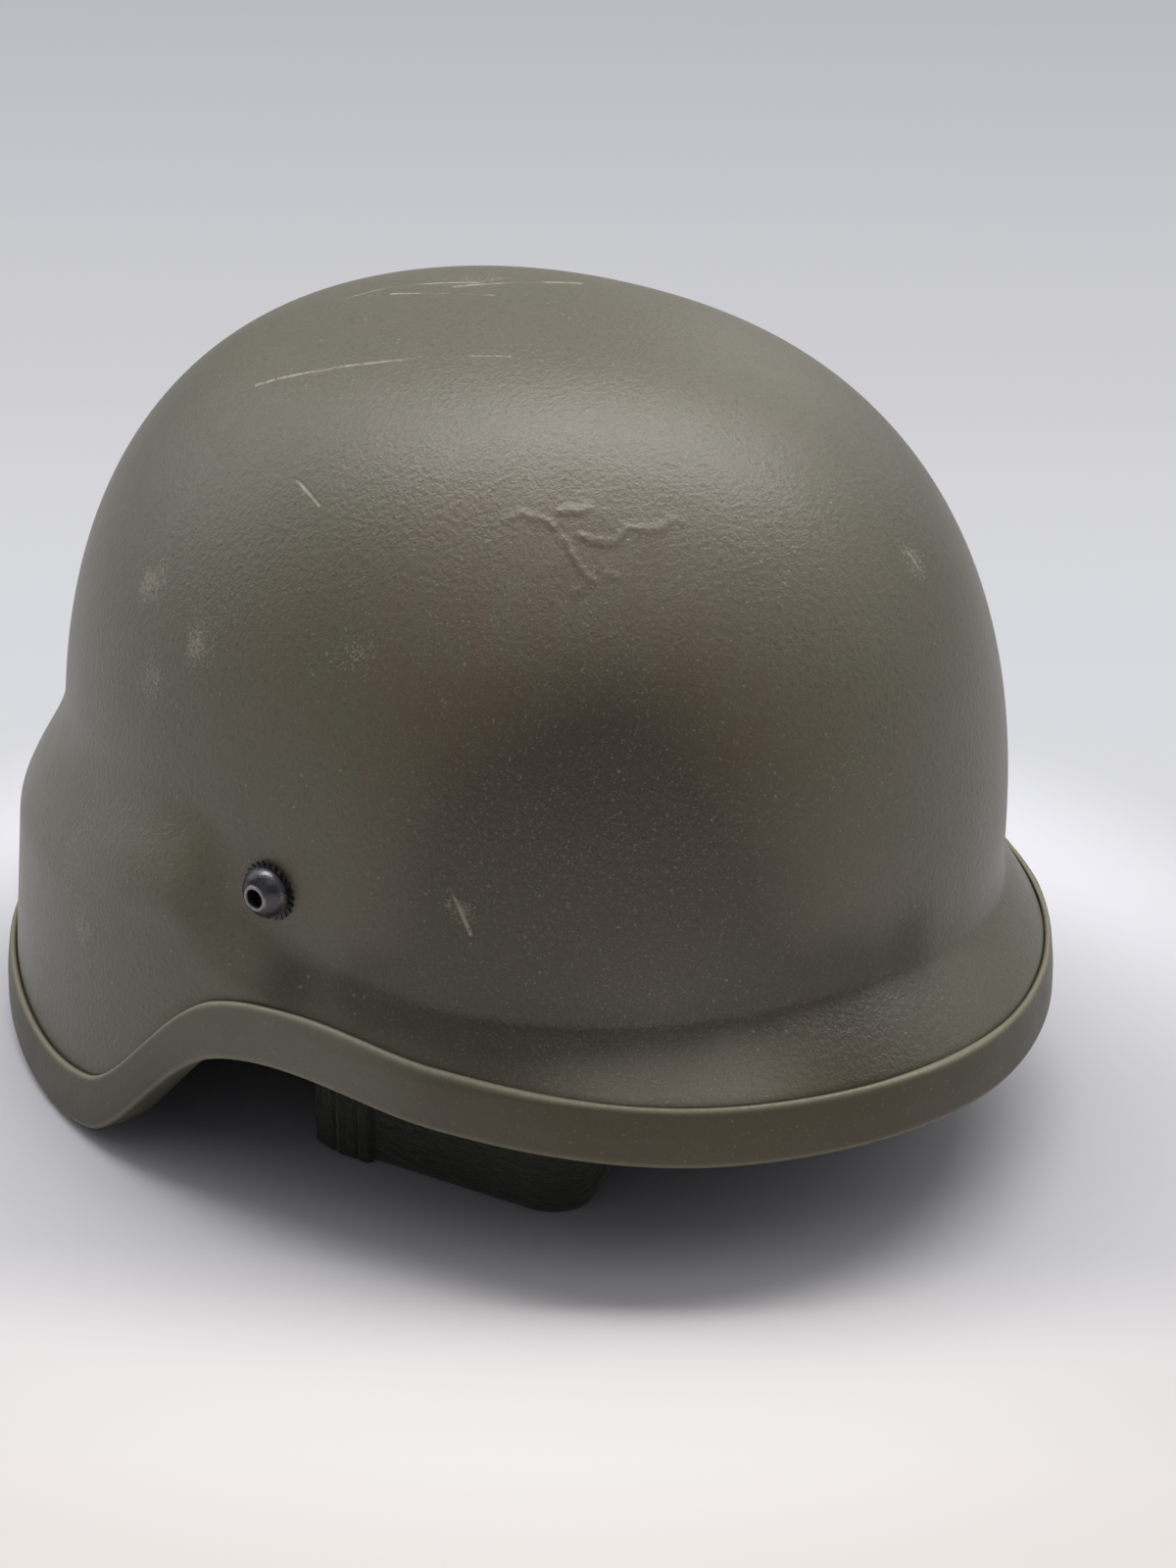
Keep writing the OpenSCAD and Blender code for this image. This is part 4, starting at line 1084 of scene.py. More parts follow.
@dataclass
class ShellSkin:
    """Composite shell with visor, notches, ears and nape, and the masks of its paint and of its
    painted shade.
    """

    form: HelmetForm
    columns: int = 340
    rows: int = 160
    wrinkles: tuple[tuple[Point, ...], ...] = (
        ((-60.6, -64.7, 165.4), (-57.6, -67.1, 166.4), (-55.8, -70.5, 165.8),
         (-54.4, -73.7, 164.8)),
        ((-52.0, -72.6, 167.3), (-47.6, -76.5, 167.8)),
        ((-51.8, -78.7, 163.3), (-48.9, -82.8, 162.2), (-47.1, -84.6, 162.0),
         (-43.6, -84.7, 164.4), (-41.8, -85.8, 164.5), (-40.0, -87.6, 164.1),
         (-37.9, -88.5, 164.6), (-34.7, -89.0, 165.8), (-32.5, -90.4, 165.7)),
        ((-54.6, -76.5, 162.6), (-54.8, -78.9, 160.6), (-54.7, -82.1, 158.1),
         (-54.6, -84.6, 155.9), (-54.0, -86.1, 155.0)),
        ((-55.0, -85.0, 155.2), (-57.2, -84.3, 153.7), (-58.4, -84.4, 152.3)),
        ((-51.8, -86.7, 156.5), (-49.9, -88.7, 156.1)),
    )
    bubble: Point = (-48, -80, 163)
    bubble_r: float = 31.0
    ridge_h: float = 0.42
    ridge_w: float = 0.75
    worn: tuple[Spot, ...] = (
        ((-96.0, 22.0, 137.5), 7.0, 1.0), ((-104.5, 12.0, 116.0), 8.0, 0.75),
        ((-99.0, -6.0, 138.0), 19.0, 0.42), ((-101.0, -3.0, 128.0), 5.0, 0.7),
        ((-116.0, 30.0, 70.0), 18.0, 0.5), ((-119.0, 22.0, 54.0), 8.0, 0.7),
        ((-116.0, 50.0, 24.0), 12.0, 0.5), ((-4.0, 14.0, 194.0), 20.0, 0.5),
        ((-58.0, 10.0, 182.0), 12.0, 0.4), ((-89.5, -50.0, 137.0), 8.0, 0.5),
        ((21.5, -109.0, 150.0), 6.0, 0.9), ((-12.0, -125.0, 112.0), 12.0, 0.45),
        ((-87.5, -80.0, 87.0), 5.0, 0.8), ((-42.0, -82.0, 164.0), 16.0, 0.25),
        ((96.0, 20.0, 120.0), 22.0, 0.5), ((60.0, 100.0, 120.0), 22.0, 0.45),
        ((110.0, 60.0, 60.0), 20.0, 0.5), ((30.0, 60.0, 184.0), 20.0, 0.4),
    )
    brown: tuple[Spot, ...] = (
        ((-66.0, -102.0, 104.0), 44.0, 0.8), ((-58.0, -101.0, 128.0), 34.0, 0.6),
        ((-76.0, -71.0, 142.0), 30.0, 0.5), ((-45.0, -74.0, 171.0), 42.0, 0.6),
        ((-38.0, -138.0, 46.0), 34.0, 0.7), ((-74.0, -98.0, 80.0), 32.0, 0.6),
        ((72.0, -60.0, 120.0), 44.0, 0.6), ((30.0, 110.0, 110.0), 46.0, 0.6),
        ((-90.0, 60.0, 110.0), 30.0, 0.3),
    )
    # Painted shade: spots on the front and lower walls and a row along the visor's crease.
    dusk: tuple[Spot, ...] = (
        ((-74.0, -98.0, 82.0), 32.0, 0.85), ((-66.0, -102.0, 106.0), 34.0, 0.85),
        ((-86.0, -86.0, 100.0), 24.0, 0.4), ((-88.0, -82.0, 62.0), 24.0, 0.6),
        ((-60.0, -100.0, 128.0), 22.0, 0.35), ((-50.0, -118.0, 80.0), 26.0, 0.75),
        ((-18.0, -137.0, 47.0), 22.0, 0.6),
        *(((x, y, z + 3.0), 9.0, 1.1) for x, y, z in (
            (-106.0, -43.0, 54.0), (-98.5, -63.0, 59.0), (-89.0, -79.0, 62.0),
            (-79.0, -93.5, 63.0), (-67.0, -106.0, 64.0), (-53.0, -116.0, 64.0),
            (-37.0, -125.0, 64.0), (-18.0, -131.0, 64.0), (2.0, -133.0, 65.0))),
        ((60.0, -100.0, 80.0), 26.0, 0.4), ((80.0, 80.0, 80.0), 28.0, 0.4),
    )

    def build(self) -> list[Part]:
        """Makes the shell and the masks of its paint and painted shade."""
        outer, turn_in = 0.70, 0.72

        def place(run: np.ndarray, turn: np.ndarray) -> np.ndarray:
            """Point of the shell's skin."""
            a = 360 * run
            out = self.form.skin_point(a, np.clip(turn / outer, 0, 1), 0.0)
            inward = np.clip((1 - turn) / (1 - turn_in), 0, 1)
            back = self.form.skin_point(a, inward, self.form.wall)
            mix = np.clip((turn - outer) / (turn_in - outer), 0, 1)[:, None]
            return out * (1 - mix) + back * mix

        def clouds(spots: tuple[Spot, ...]) -> Callable:
            """Mask of soft round spots, each a place, a radius and a strength."""

            def mask(run: np.ndarray, turn: np.ndarray) -> np.ndarray:
                """Strength at every point."""
                at = place(run, turn)
                total = 0.0
                for spot, r, force in spots:
                    far = np.linalg.norm(at - np.array(spot), axis=1) / r
                    total = total + force * np.exp(-(far**2))
                return np.clip(total, 0, 1) * (turn < outer)

            return mask

        marks = {key: clouds(getattr(self, key)) for key in ("worn", "brown", "dusk")}
        marks["inner"] = lambda run, turn: (turn > (outer + turn_in) / 2).astype(float)
        shell = mapped_sheet("shell_skin", self.columns, self.rows, place, closed=True,
                             marks=marks)
        self._wrinkle(shell)
        return [Part(shell, "shell", Slot.SHELL_PAINT)]

    def _wrinkle(self, shell: bpy.types.Object) -> None:
        """Raises the wrinkled paint bubble on a finer patch of the skin.

        Args:
            shell: the shell, changed in place.
        """
        bm = bmesh.new()
        bm.from_mesh(shell.data)
        centre = Vector(self.bubble) * MM
        inner = bm.verts.layers.float["inner"]

        def patch_of() -> list[bmesh.types.BMVert]:
            """Vertices of the outer skin near the bubble."""
            return [v for v in bm.verts
                    if v[inner] < 0.5 and (v.co - centre).length < self.bubble_r * MM]

        near = set(patch_of())
        edges = [e for e in bm.edges if e.verts[0] in near and e.verts[1] in near]
        bmesh.ops.subdivide_edges(bm, edges=edges, cuts=3, use_grid_fill=True)
        bm.normal_update()
        patch = patch_of()
        at = np.array([v.co for v in patch]) / MM
        rng = np.random.default_rng(7)
        waves = rng.normal(size=(14, 3)) * 0.9
        turns = rng.uniform(0, 2 * math.pi, 14)
        shake = np.sin(at @ waves.T + turns)
        sums = [shake[:, k : k + 4].sum(1) for k in (0, 4, 8)]
        bent = at + 0.35 * np.stack(sums, 1) / 2
        ridge = np.zeros(len(at))
        for line in self.wrinkles:
            for start, end in zip(np.array(line), np.array(line)[1:]):
                run = end - start
                share = np.clip((bent - start) @ run / (run @ run), 0, 1)
                far = np.linalg.norm(bent - start - share[:, None] * run, axis=1)
                ridge = np.maximum(ridge, np.exp(-((far / self.ridge_w) ** 2)))
        slow = np.sin(at @ (waves[:6].T * 0.35) + turns[:6]).sum(1) / 6
        reach = np.linalg.norm((at - np.array(self.bubble)) * [0.8, 1.0, 1.25], axis=1)
        swell = np.clip(1 - reach / 24.0, 0, 1) ** 1.5
        lift = ridge * self.ridge_h * np.clip(1.2 - reach / 30, 0, 1) + swell * (0.35 + 0.55 * slow)
        for v, up in zip(patch, lift):
            v.co += v.normal * float(up) * MM
        bm.to_mesh(shell.data)
        bm.free()


@dataclass
class RimTrim:
    """Rubber channel over the shell's whole rim."""

    form: HelmetForm
    columns: int = 400

    def build(self) -> list[Part]:
        """Makes the trim."""
        f = self.form
        inner, wall = (f.trim_h + f.trim_t) * 0.6, f.wall
        profile = softened([
            (0.15, f.trim_h), (1.35, f.trim_h + 0.05), (2.0, f.trim_h - 1.0), (2.3, 8.25),
            (2.0, 2.4), (0.8, 0.5), (-2.55, 0), (-5.95, 0), (-9.5, 0.6), (-wall - 2, 2.6),
            (-wall - 2, inner - 1.3), (-wall - 0.25, inner), (-wall - 0.25, 1.85), (0.15, 1.85)],
            0.75)

        def place(run: np.ndarray, turn: np.ndarray) -> np.ndarray:
            """Point of the trim's surface."""
            at = along_line(profile, turn)
            a = 360 * run
            z = f.rim(a) + at[:, 1]
            return f.polar(a, f.skin(a, z) + at[:, 0], z)

        def lip(run: np.ndarray, turn: np.ndarray) -> np.ndarray:
            """Mask of the two outer edges, where a highlight is painted paler."""
            at = along_line(profile, turn)
            top = np.linalg.norm(at - [1.3, f.trim_h - 0.1], axis=1)
            low = np.linalg.norm(at - [1.5, 1.1], axis=1)
            return np.exp(-((top / 0.75) ** 2)) + 0.55 * np.exp(-((low / 0.8) ** 2))

        made = mapped_sheet("rim_trim", self.columns, 130, place, closed=True,
                            marks={"lip": lip})
        crisp(made, 50.0)
        return [Part(made, "edge_trim", Slot.EDGE_RUBBER)]


@dataclass(frozen=True)
class LinerFrame:
    """The liner's frame, level with the three bolts, and the bolts' own frames."""

    bolt_x: float = 106.242
    bolt_y: float = -36.3926
    bolt_up: float = 80.5591
    tilt: float = 4.7909
    yaw: float = 13.1355
    centre_run: float = 34.4354
    rear_run: float = 167.625
    ring_front: float = 108.0
    ring_back: float = 118.19
    ring_half_w: float = 95.6667
    ring_t: float = 2.2

    def base(self) -> Matrix:
        """The liner's frame in millimetres."""
        return (Matrix.Translation((0, self.bolt_y, self.bolt_up))
                @ Matrix.Rotation(math.radians(self.tilt), 4, "X"))

    def bolt(self, side: Side) -> Matrix:
        """Frame of a bolt, z out of the shell."""
        at = (0, self.rear_run, 0) if side is Side.REAR else (side.value * self.bolt_x, 0, 0)
        turn = {Side.REAR: 90.0, Side.LEFT: -self.yaw, Side.RIGHT: 180 + self.yaw}[side]
        return (self.base() @ Matrix.Translation(at)
                @ Matrix.Rotation(math.radians(turn), 4, "Z")
                @ Matrix.Rotation(math.radians(90), 4, "Y"))

    def points(self, local: np.ndarray) -> np.ndarray:
        """Moves points of the liner's frame into the helmet's."""
        m = np.array(self.base())
        return local @ m[:3, :3].T + m[:3, 3]

    def ring_r(self, a: float, cut: float) -> float:
        """Radius of the ring's plan at an angle from the front."""
        c, s = math.cos(math.radians(a)), math.sin(math.radians(a))
        reach = (self.ring_front if c > 0 else self.ring_back) - cut
        return ((s / (self.ring_half_w - cut)) ** 2 + (c / reach) ** 2) ** -0.5


@dataclass
class SideFastener:
    """Dark domed nut with a round socket on a toothed washer."""

    liner: LinerFrame
    head_r: float = 5.95
    socket_r: float = 2.1
    dome_foot: float = 1.5
    dome_h: float = 4.0
    dome_end: float = 62.0
    washer_r: float = 7.1
    washer_hole: float = 4.1
    washer_t: float = 0.75
    teeth: int = 24
    root: float = 0.86
    twist: float = 0.3

    def _washer(self, name: str, place: Matrix) -> bpy.types.Object:
        """Makes one washer with twisted teeth round its edge.

        Args:
            name: the new object's name.
            place: the bolt's frame.

        Returns:
            The washer.
        """
        bm = bmesh.new()
        spokes = self.teeth * 4
        rim, hole = (bmesh.ops.create_circle(bm, segments=spokes, radius=r * MM)["verts"]
                     for r in (self.washer_r, self.washer_hole))
        for k, v in enumerate(rim):
            v.co *= 1.0 if k % 4 < 2 else self.root
            v.co.z = self.twist * MM if k % 4 == 0 else 0.0
        edges = list({e for v in rim + hole for e in v.link_edges})
        bmesh.ops.bridge_loops(bm, edges=edges)
        wall = bmesh.ops.extrude_face_region(bm, geom=bm.faces[:])
        top = [v for v in wall["geom"] if isinstance(v, bmesh.types.BMVert)]
        bmesh.ops.translate(bm, verts=top, vec=(0, 0, self.washer_t * MM))
        bmesh.ops.recalc_face_normals(bm, faces=bm.faces)
        set_down(bm, place)
        piece = as_object(bm, name)
        crisp(piece, 30.0)
        return piece

    @staticmethod
    def _rub(nut: bpy.types.Object, place: Matrix) -> None:
        """Marks the ring round a nut's socket and its edge as rubbed bright.

        Args:
            nut: the nut.
            place: the bolt's frame.
        """
        ring_r, ring_w, face_up, edge_r, edge_w = 2.75, 0.4, 4.5, 5.9, 0.25
        lip = nut.data.attributes.new("lip", "FLOAT", "POINT")
        back = place.inverted()
        for v, mark in zip(nut.data.vertices, lip.data):
            x, y, z = back @ (v.co / MM)
            r = math.hypot(x, y)
            ring = math.exp(-((r - ring_r) / ring_w) ** 2) * (z > face_up)
            mark.value = max(ring, 0.6 * math.exp(-((r - edge_r) / edge_w) ** 2))

    def build(self) -> list[Part]:
        """Makes three nuts and three washers."""
        dome_r = self.dome_h / math.sin(math.radians(self.dome_end))
        dome = [(self.head_r * math.cos(t), self.dome_foot + dome_r * math.sin(t))
                for t in map(math.radians, range(0, 60, 4))]
        hole = self.socket_r
        profile = [(0, -11), (3.9, -11), (3.9, 0.78), (5.7, 0.78), (self.head_r, 1.1), *dome,
                   (3.1, 5.42), (2.95, 5.66), (2.6, 5.70), (2.3, 5.6), (hole + 0.02, 5.3),
                   (hole, 4.9), (hole, -9.5), (0, -9.5)]
        made = []
        for side in Side:
            place = self.liner.bolt(side)
            nut = spun(f"domed_nut_{side.word}", profile, place)
            crisp(nut, 40.0)
            self._rub(nut, place)
            washer = self._washer(f"toothed_washer_{side.word}", place)
            made += [Part(nut, f"sleeve_nut_{side.word}", Slot.DARK_STEEL),
                     Part(washer, f"lock_washer_{side.word}", Slot.DARK_STEEL)]
        return made


class Fitting(NamedTuple):
    """A kind of hard part: stem of its nodes, slot, bevel in millimetres, sides and body."""

    stem: str
    slot: Slot
    bevel: float
    sides: tuple[Side, ...] = ()
    body: Body = Body.HELMET


@dataclass
class Fittings:
    """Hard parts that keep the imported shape, with rounded edges and a finish."""

    kinds: tuple[Fitting, ...] = (
        Fitting("spacer_bush", Slot.BLACK_RUBBER, 0.4, (*PAIR, Side.REAR)),
        Fitting("liner_screw", Slot.PLAIN_STEEL, 0.18, (*PAIR, Side.REAR)),
        Fitting("liner_ring", Slot.BLACK_PLASTIC, 0.45),
        Fitting("hanger_bracket", Slot.PLAIN_STEEL, 0.25, PAIR),
        Fitting("temple_plate", Slot.BLACK_PLASTIC, 0.3, PAIR),
        Fitting("hinge_rivet", Slot.PLAIN_STEEL, 0.3, PAIR),
        Fitting("band_stud", Slot.PLAIN_STEEL, 0.25, PAIR),
        Fitting("hanger_stud", Slot.PLAIN_STEEL, 0.3, PAIR),
        Fitting("rear_hanger", Slot.BLACK_PLASTIC, 0.35, PAIR, Body.REAR_BAND),
        Fitting("strap_tab", Slot.BLACK_PLASTIC, 0.35, PAIR, Body.CHIN_STRAP),
        Fitting("chin_cup", Slot.BLACK_PLASTIC, 0.3, body=Body.CHIN_STRAP),
        Fitting("buckle_socket", Slot.BLACK_PLASTIC, 0.6, body=Body.CHIN_STRAP),
        Fitting("buckle_plug", Slot.BLACK_PLASTIC, 0.5, body=Body.PLUG),
        Fitting("strap_keeper", Slot.BLACK_PLASTIC, 0.5, body=Body.KEEPER),
    )

    def build(self) -> list[Part]:
        """Makes a rounded copy of every hard part."""
        made = []
        for kind in self.kinds:
            for node in [f"{kind.stem}_{side.word}" for side in kind.sides] or [kind.stem]:
                made.append(Part(rounded_copy(node, kind.bevel), node, kind.slot, kind.body))
        return made


@dataclass
class CrownCradle:
    """Six crown straps, the disc that joins them and the pad under it."""

    liner: LinerFrame
    width: float = 20.0
    thick: float = 1.4
    rise: float = 88.0355
    disc_r: float = 32.0
    pad_t: float = 10.0
    ring_gap: float = 0.925
    foot: float = -9.0
    knee: float = 11.0
    end_r: float = 18.5

    def _strap(self, i: int) -> bpy.types.Object:
        """One strap from the ring to the disc."""
        a = 60 * i - 30
        liner = self.liner
        lead = liner.ring_front if math.cos(math.radians(a)) > 0 else liner.ring_back
        tan = math.tan(math.radians(a % 180)) if a % 180 != 90 else 0.0
        swing = abs(math.atan(tan * (lead / liner.ring_half_w) ** 2) - math.atan(tan))
        r0 = liner.ring_r(a, liner.ring_t) - self.width / 2 * math.tan(swing) - self.ring_gap
        t = np.radians(np.arange(0, 91, 3))
        bend_r = r0 - self.disc_r + 2
        rho = np.concatenate([[r0], self.disc_r - 2 + bend_r * np.cos(t), [self.end_r]])
        bend = self.knee + (self.rise - self.knee) * np.sin(t)
        up = np.concatenate([[self.foot], bend, [self.rise]])
        d = np.stack([np.gradient(rho), np.gradient(up)], 1)
        d /= np.linalg.norm(d, axis=1, keepdims=True)
        rho, up = rho - d[:, 1] * self.thick / 2, up + d[:, 0] * self.thick / 2
        s, c = math.sin(math.radians(a)), math.cos(math.radians(a))
        local = np.stack([rho * s, liner.centre_run - rho * c, up], 1)
        wide = np.tile(np.array(liner.base())[:3, :3] @ [c, s, 0], (len(rho), 1))
        return ribbon(f"crown_webbing_{i}", liner.points(local), wide, self.width, self.thick, 130)

    def build(self) -> list[Part]:
        """Makes straps, disc and pad."""
        made = [Part(self._strap(i), f"crown_strap_{i}", Slot.WEBBING) for i in range(1, 7)]
        base = self.liner.base() @ Matrix.Translation((0, self.liner.centre_run, self.rise + 0.05))
        r, hole, t = self.disc_r, 12, self.pad_t
        ring = softened([(hole, 0), (r, 0), (r, 2.6), (hole, 2.6)], 0.9, points=5)
        disc = spun("crown_leather", ring, base)
        crisp(disc, 60.0)
        low = base @ Matrix.Translation((0, 0, -self.thick - 0.35))
        edge = softened([(0, -0.76 * t), (6, -0.8 * t), (14, -t), (22, -0.9 * t), (27, -0.6 * t),
                         (28.4, -0.35 * t), (27, -0.9), (24, 0), (0, 0)], 2.0, closed=False)
        pad = spun("crown_cushion", edge, low)
        filled(pad)
        return [*made, Part(disc, "crown_disc", Slot.BAND_LEATHER),
                Part(pad, "crown_pad", Slot.PAD_CLOTH)]


@dataclass
class BandLine:
    """Line of a headband seen from above, with the direction out of it."""

    points: np.ndarray
    out: np.ndarray

    @classmethod
    def mirrored(cls, half: Half) -> "BandLine":
        """A whole line from its left half and the half's mirror."""
        flip = np.array([-1, 1])
        return cls(*(np.concatenate([part, part[-2::-1] * flip]) for part in half))

    def at(self, run: np.ndarray) -> np.ndarray:
        """Plan x and y and the direction out, a row each, at shares of the line."""
        return along_line(np.concatenate([self.points, self.out], 1), run).T

    def section(self, name: str, low: Callable, top: float, thick: float) -> bpy.types.Object:
        """Lays a padded section along the line, flat outside and full inside.

        Args:
            name: the object's name.
            low: height of the lower edge from x.
            top: height of the upper edge.
            thick: thickness of the padding.

        Returns:
            The band.
        """
        span, t = 50.0, thick
        loop = softened([(-0.9, 0), (0, 0.05 * span), (0, 0.95 * span), (-0.9, span),
                         (-t + 2, span), (-t + 0.6, 0.9 * span), (-t, 0.5 * span),
                         (-t + 0.6, 0.1 * span), (-t + 2, 0)], 2.4, points=6)

        def place(run: np.ndarray, turn: np.ndarray) -> np.ndarray:
            """Point of the band's surface."""
            at = along_line(loop, turn)
            x, y, nx, ny = self.at(run)
            floor = low(x)
            z = floor + (top - floor) * at[:, 1] / span
            return np.stack([x + at[:, 0] * nx, y + at[:, 0] * ny, z], 1)

        def seam(run: np.ndarray, turn: np.ndarray) -> np.ndarray:
            """Mask of the stitched row under the upper edge."""
            at = along_line(loop, turn)[:, 1] / span
            return np.exp(-(((at - 0.915) / 0.014) ** 2))

        made = mapped_sheet(name, 300, 150, place, closed=True, capped=True, marks={"seam": seam})
        crisp(made, 55.0)
        return made


@dataclass
class Headband:
    """Front and rear headbands, end tabs, hangers, size straps and nape pad."""

    liner: LinerFrame
    half_w: float = 83.3
    lean: float = 18.5
    end_y: float = -20.4387
    end_len: float = 8.6
    dome_y: float = -2.0775
    reach: float = 90.0
    corner_r: float = 12.0
    corner_front: float = 80.9
    top: float = 53.0
    thick: float = 6.5
    rear_square: float = 2.2
    rear_gap: float = 2.7
    rear_ahead: float = 12.0
    rear_reach: float = 111.0
    rear_low: float = 31.0
    rear_top: float = 70.0
    stud_y: float = -33.0387
    web_t: float = 1.4

    def bow(self) -> tuple[np.ndarray, float, float]:
        """Centre of the front corner's round, then radius and centre of the bow over the brow."""
        lean, front = math.radians(self.lean), math.radians(self.corner_front)
        corner_y = self.dome_y - self.reach + 16.7
        lean_y = corner_y - self.corner_r * math.sin(lean)
        corner_x = (self.half_w - (self.end_y - self.end_len - lean_y) * math.tan(lean)
                    - self.corner_r * math.cos(lean))
        bow_r = (corner_x + self.corner_r * math.cos(front)) / math.cos(front)
        bow_y = corner_y - self.corner_r * math.sin(front) + bow_r * math.sin(front)
        return np.array([corner_x, corner_y]), bow_r, bow_y

    def front_half(self) -> Half:
        """Left half of the front line from its end to the middle, and its directions."""
        lean, front = math.radians(self.lean), math.radians(self.corner_front)
        corner, bow_r, bow_y = self.bow()
        turn_y = self.end_y - self.end_len
        lean_y = corner[1] - self.corner_r * math.sin(lean)
        d = np.linspace(1.5, (turn_y - lean_y) / math.cos(lean), 20)
        side = np.stack([self.half_w - d * math.sin(lean), turn_y - d * math.cos(lean)], 1)
        side_n = np.tile([math.cos(lean), -math.sin(lean)], (20, 1))
        end = np.array([[self.half_w, self.end_y], [self.half_w, turn_y + 1.5]])
        side, side_n = np.concatenate([end, side]), np.concatenate([[[1, 0], [1, 0]], side_n])
        arcs = (np.linspace(*span, 30)[1:] for span in ((lean, front), (front, math.pi / 2)))
        turn_n, bow_n = (np.stack([np.cos(t), -np.sin(t)], 1) for t in arcs)
        turn = corner + self.corner_r * turn_n
        bow = np.array([0, bow_y]) + bow_r * bow_n
        return np.concatenate([side, turn, bow]), np.concatenate([side_n, turn_n, bow_n])

    def rear_half(self, start: float = 0.5) -> Half:
        """Left half of the rear line from its end to the middle, and its directions."""
        return quarter(self.rear_square, self.half_w + self.rear_gap,
                       self.rear_reach - self.rear_ahead, self.dome_y + self.rear_ahead, start, 70)

    def _tab(self, side: Side) -> bpy.types.Object:
        """Sewn end tab: a round end, a groove, a flat and a raised welt."""
        lean = math.radians(self.lean)
        thick = 1.3
        steps = ((0, 0.5), (0.6, 1), (7.2, 1), (7.9, 0.45), (8.6, 0.7), (9.2, 1), (13.8, 1),
                 (14.4, 0.5), (14.9, 1.25), (17.6, 1.25), (18.2, 0.4))
        flat = [(d, thick * up) for d, up in steps]
        plan = softened([*flat, (18.5, 0.05), (0, 0.05)], 0.5, points=5)

        def place(run: np.ndarray, turn: np.ndarray) -> np.ndarray:
            """Point of the tab's surface."""
            at = along_line(plan, turn)
            d, out = at[:, 0], at[:, 1]
            past = np.clip(d - self.end_len, 0, None)
            bend = np.clip((d - self.end_len + 1.5) / 3, 0, 1) * lean
            x = self.half_w - past * math.sin(lean) + out * np.cos(bend)
            y = (self.end_y - np.minimum(d, self.end_len) - past * math.cos(lean)
                 - out * np.sin(bend))
            return np.stack([side.value * x, y, 0.6 + 51.4 * run], 1)

        made = mapped_sheet(f"sewn_tab_{side.word}", 90, 190, place, closed=True, capped=True)
        crisp(made, 60.0)
        return made

    def _hanger(self, side: Side) -> bpy.types.Object:
        """Webbing from the ring down to the front band."""
        _, bow_r, bow_y = self.bow()
        gap, thick = 0.3, self.web_t
        places, angles = (25, 33.5, 42), (16, 21, 26)  # inner edge, middle, outer edge
        lines = []
        for z in (self.top - 12, self.top + 1):
            lines.append([[x, bow_y - math.sqrt(bow_r**2 - x * x) - gap - thick / 2, z]
                          for x in places])
        for z in (-6.0, 6.0):
            local = []
            for a in angles:
                r = self.liner.ring_r(a, self.liner.ring_t + gap + thick / 2)
                local.append([r * math.sin(math.radians(a)),
                              self.liner.centre_run - r * math.cos(math.radians(a)), z])
            lines.append(self.liner.points(np.array(local)).tolist())
        grid = np.array(lines) * [side.value, 1, 1]
        smooth = np.linspace(0, 1, 40)
        mid = along_line(softened(grid[:, 1], 9.0, closed=False, points=12), smooth)
        wide = along_line(grid[:, 2] - grid[:, 0], smooth)
        return ribbon(f"hanger_webbing_{side.word}", mid, wide, 17.4, thick, 60)

    def _size_strap(self, side: Side) -> bpy.types.Object:
        """Strap from the temple plate to the rear band."""
        plate_x, band_x, mid_z, height = 91.2, 86.05, 37.5, 12.0
        loop_w, travel = 6, 15
        loop_y = self.stud_y - 5
        bend = loop_y + loop_w + travel + 4
        last = max(self.dome_y + self.rear_ahead, bend + 12) + 3
        path = softened([(plate_x, loop_y - 5), (plate_x, bend), (band_x, last),
                         (band_x, last + 11)], 6.0, closed=False, points=10)
        x = side.value * (path[:, 0] + self.web_t / 2)
        pts = np.stack([x, path[:, 1], np.full(len(path), mid_z)], 1)
        wide = np.tile([0.0, 0.0, 1.0], (len(pts), 1))
        return ribbon(f"size_webbing_{side.word}", pts, wide, height, self.web_t, 80)

    def build(self) -> list[Part]:
        """Makes every piece of the headband."""
        front = BandLine.mirrored(self.front_half())
        rear = BandLine.mirrored(self.rear_half())
        made = [
            Part(front.section("front_band", lambda x: 16 * ease((57 - np.abs(x)) / 18), self.top,
                               self.thick), "front_headband", Slot.BAND_LEATHER),
            Part(rear.section("rear_band_padded", lambda x: np.full(len(x), self.rear_low),
                              self.rear_top, self.thick - 1), "rear_headband",
                 Slot.BAND_LEATHER, Body.REAR_BAND),
        ]
        for side in PAIR:
            made += [Part(self._tab(side), f"headband_tab_{side.word}", Slot.BAND_LEATHER),
                     Part(self._hanger(side), f"front_hanger_{side.word}", Slot.WEBBING),
                     Part(self._size_strap(side), f"size_strap_{side.word}", Slot.WEBBING,
                          Body.REAR_BAND)]
        nape = cushion("nape_cushion", BandLine.mirrored(self.rear_half(66.0)),
                       (self.rear_low + self.rear_top) / 2, (self.rear_top - self.rear_low) * 0.86,
                       7, self.thick - 0.7, lambda points: points)
        return [*made, Part(nape, "nape_pad", Slot.PAD_CLOTH, Body.REAR_BAND)]


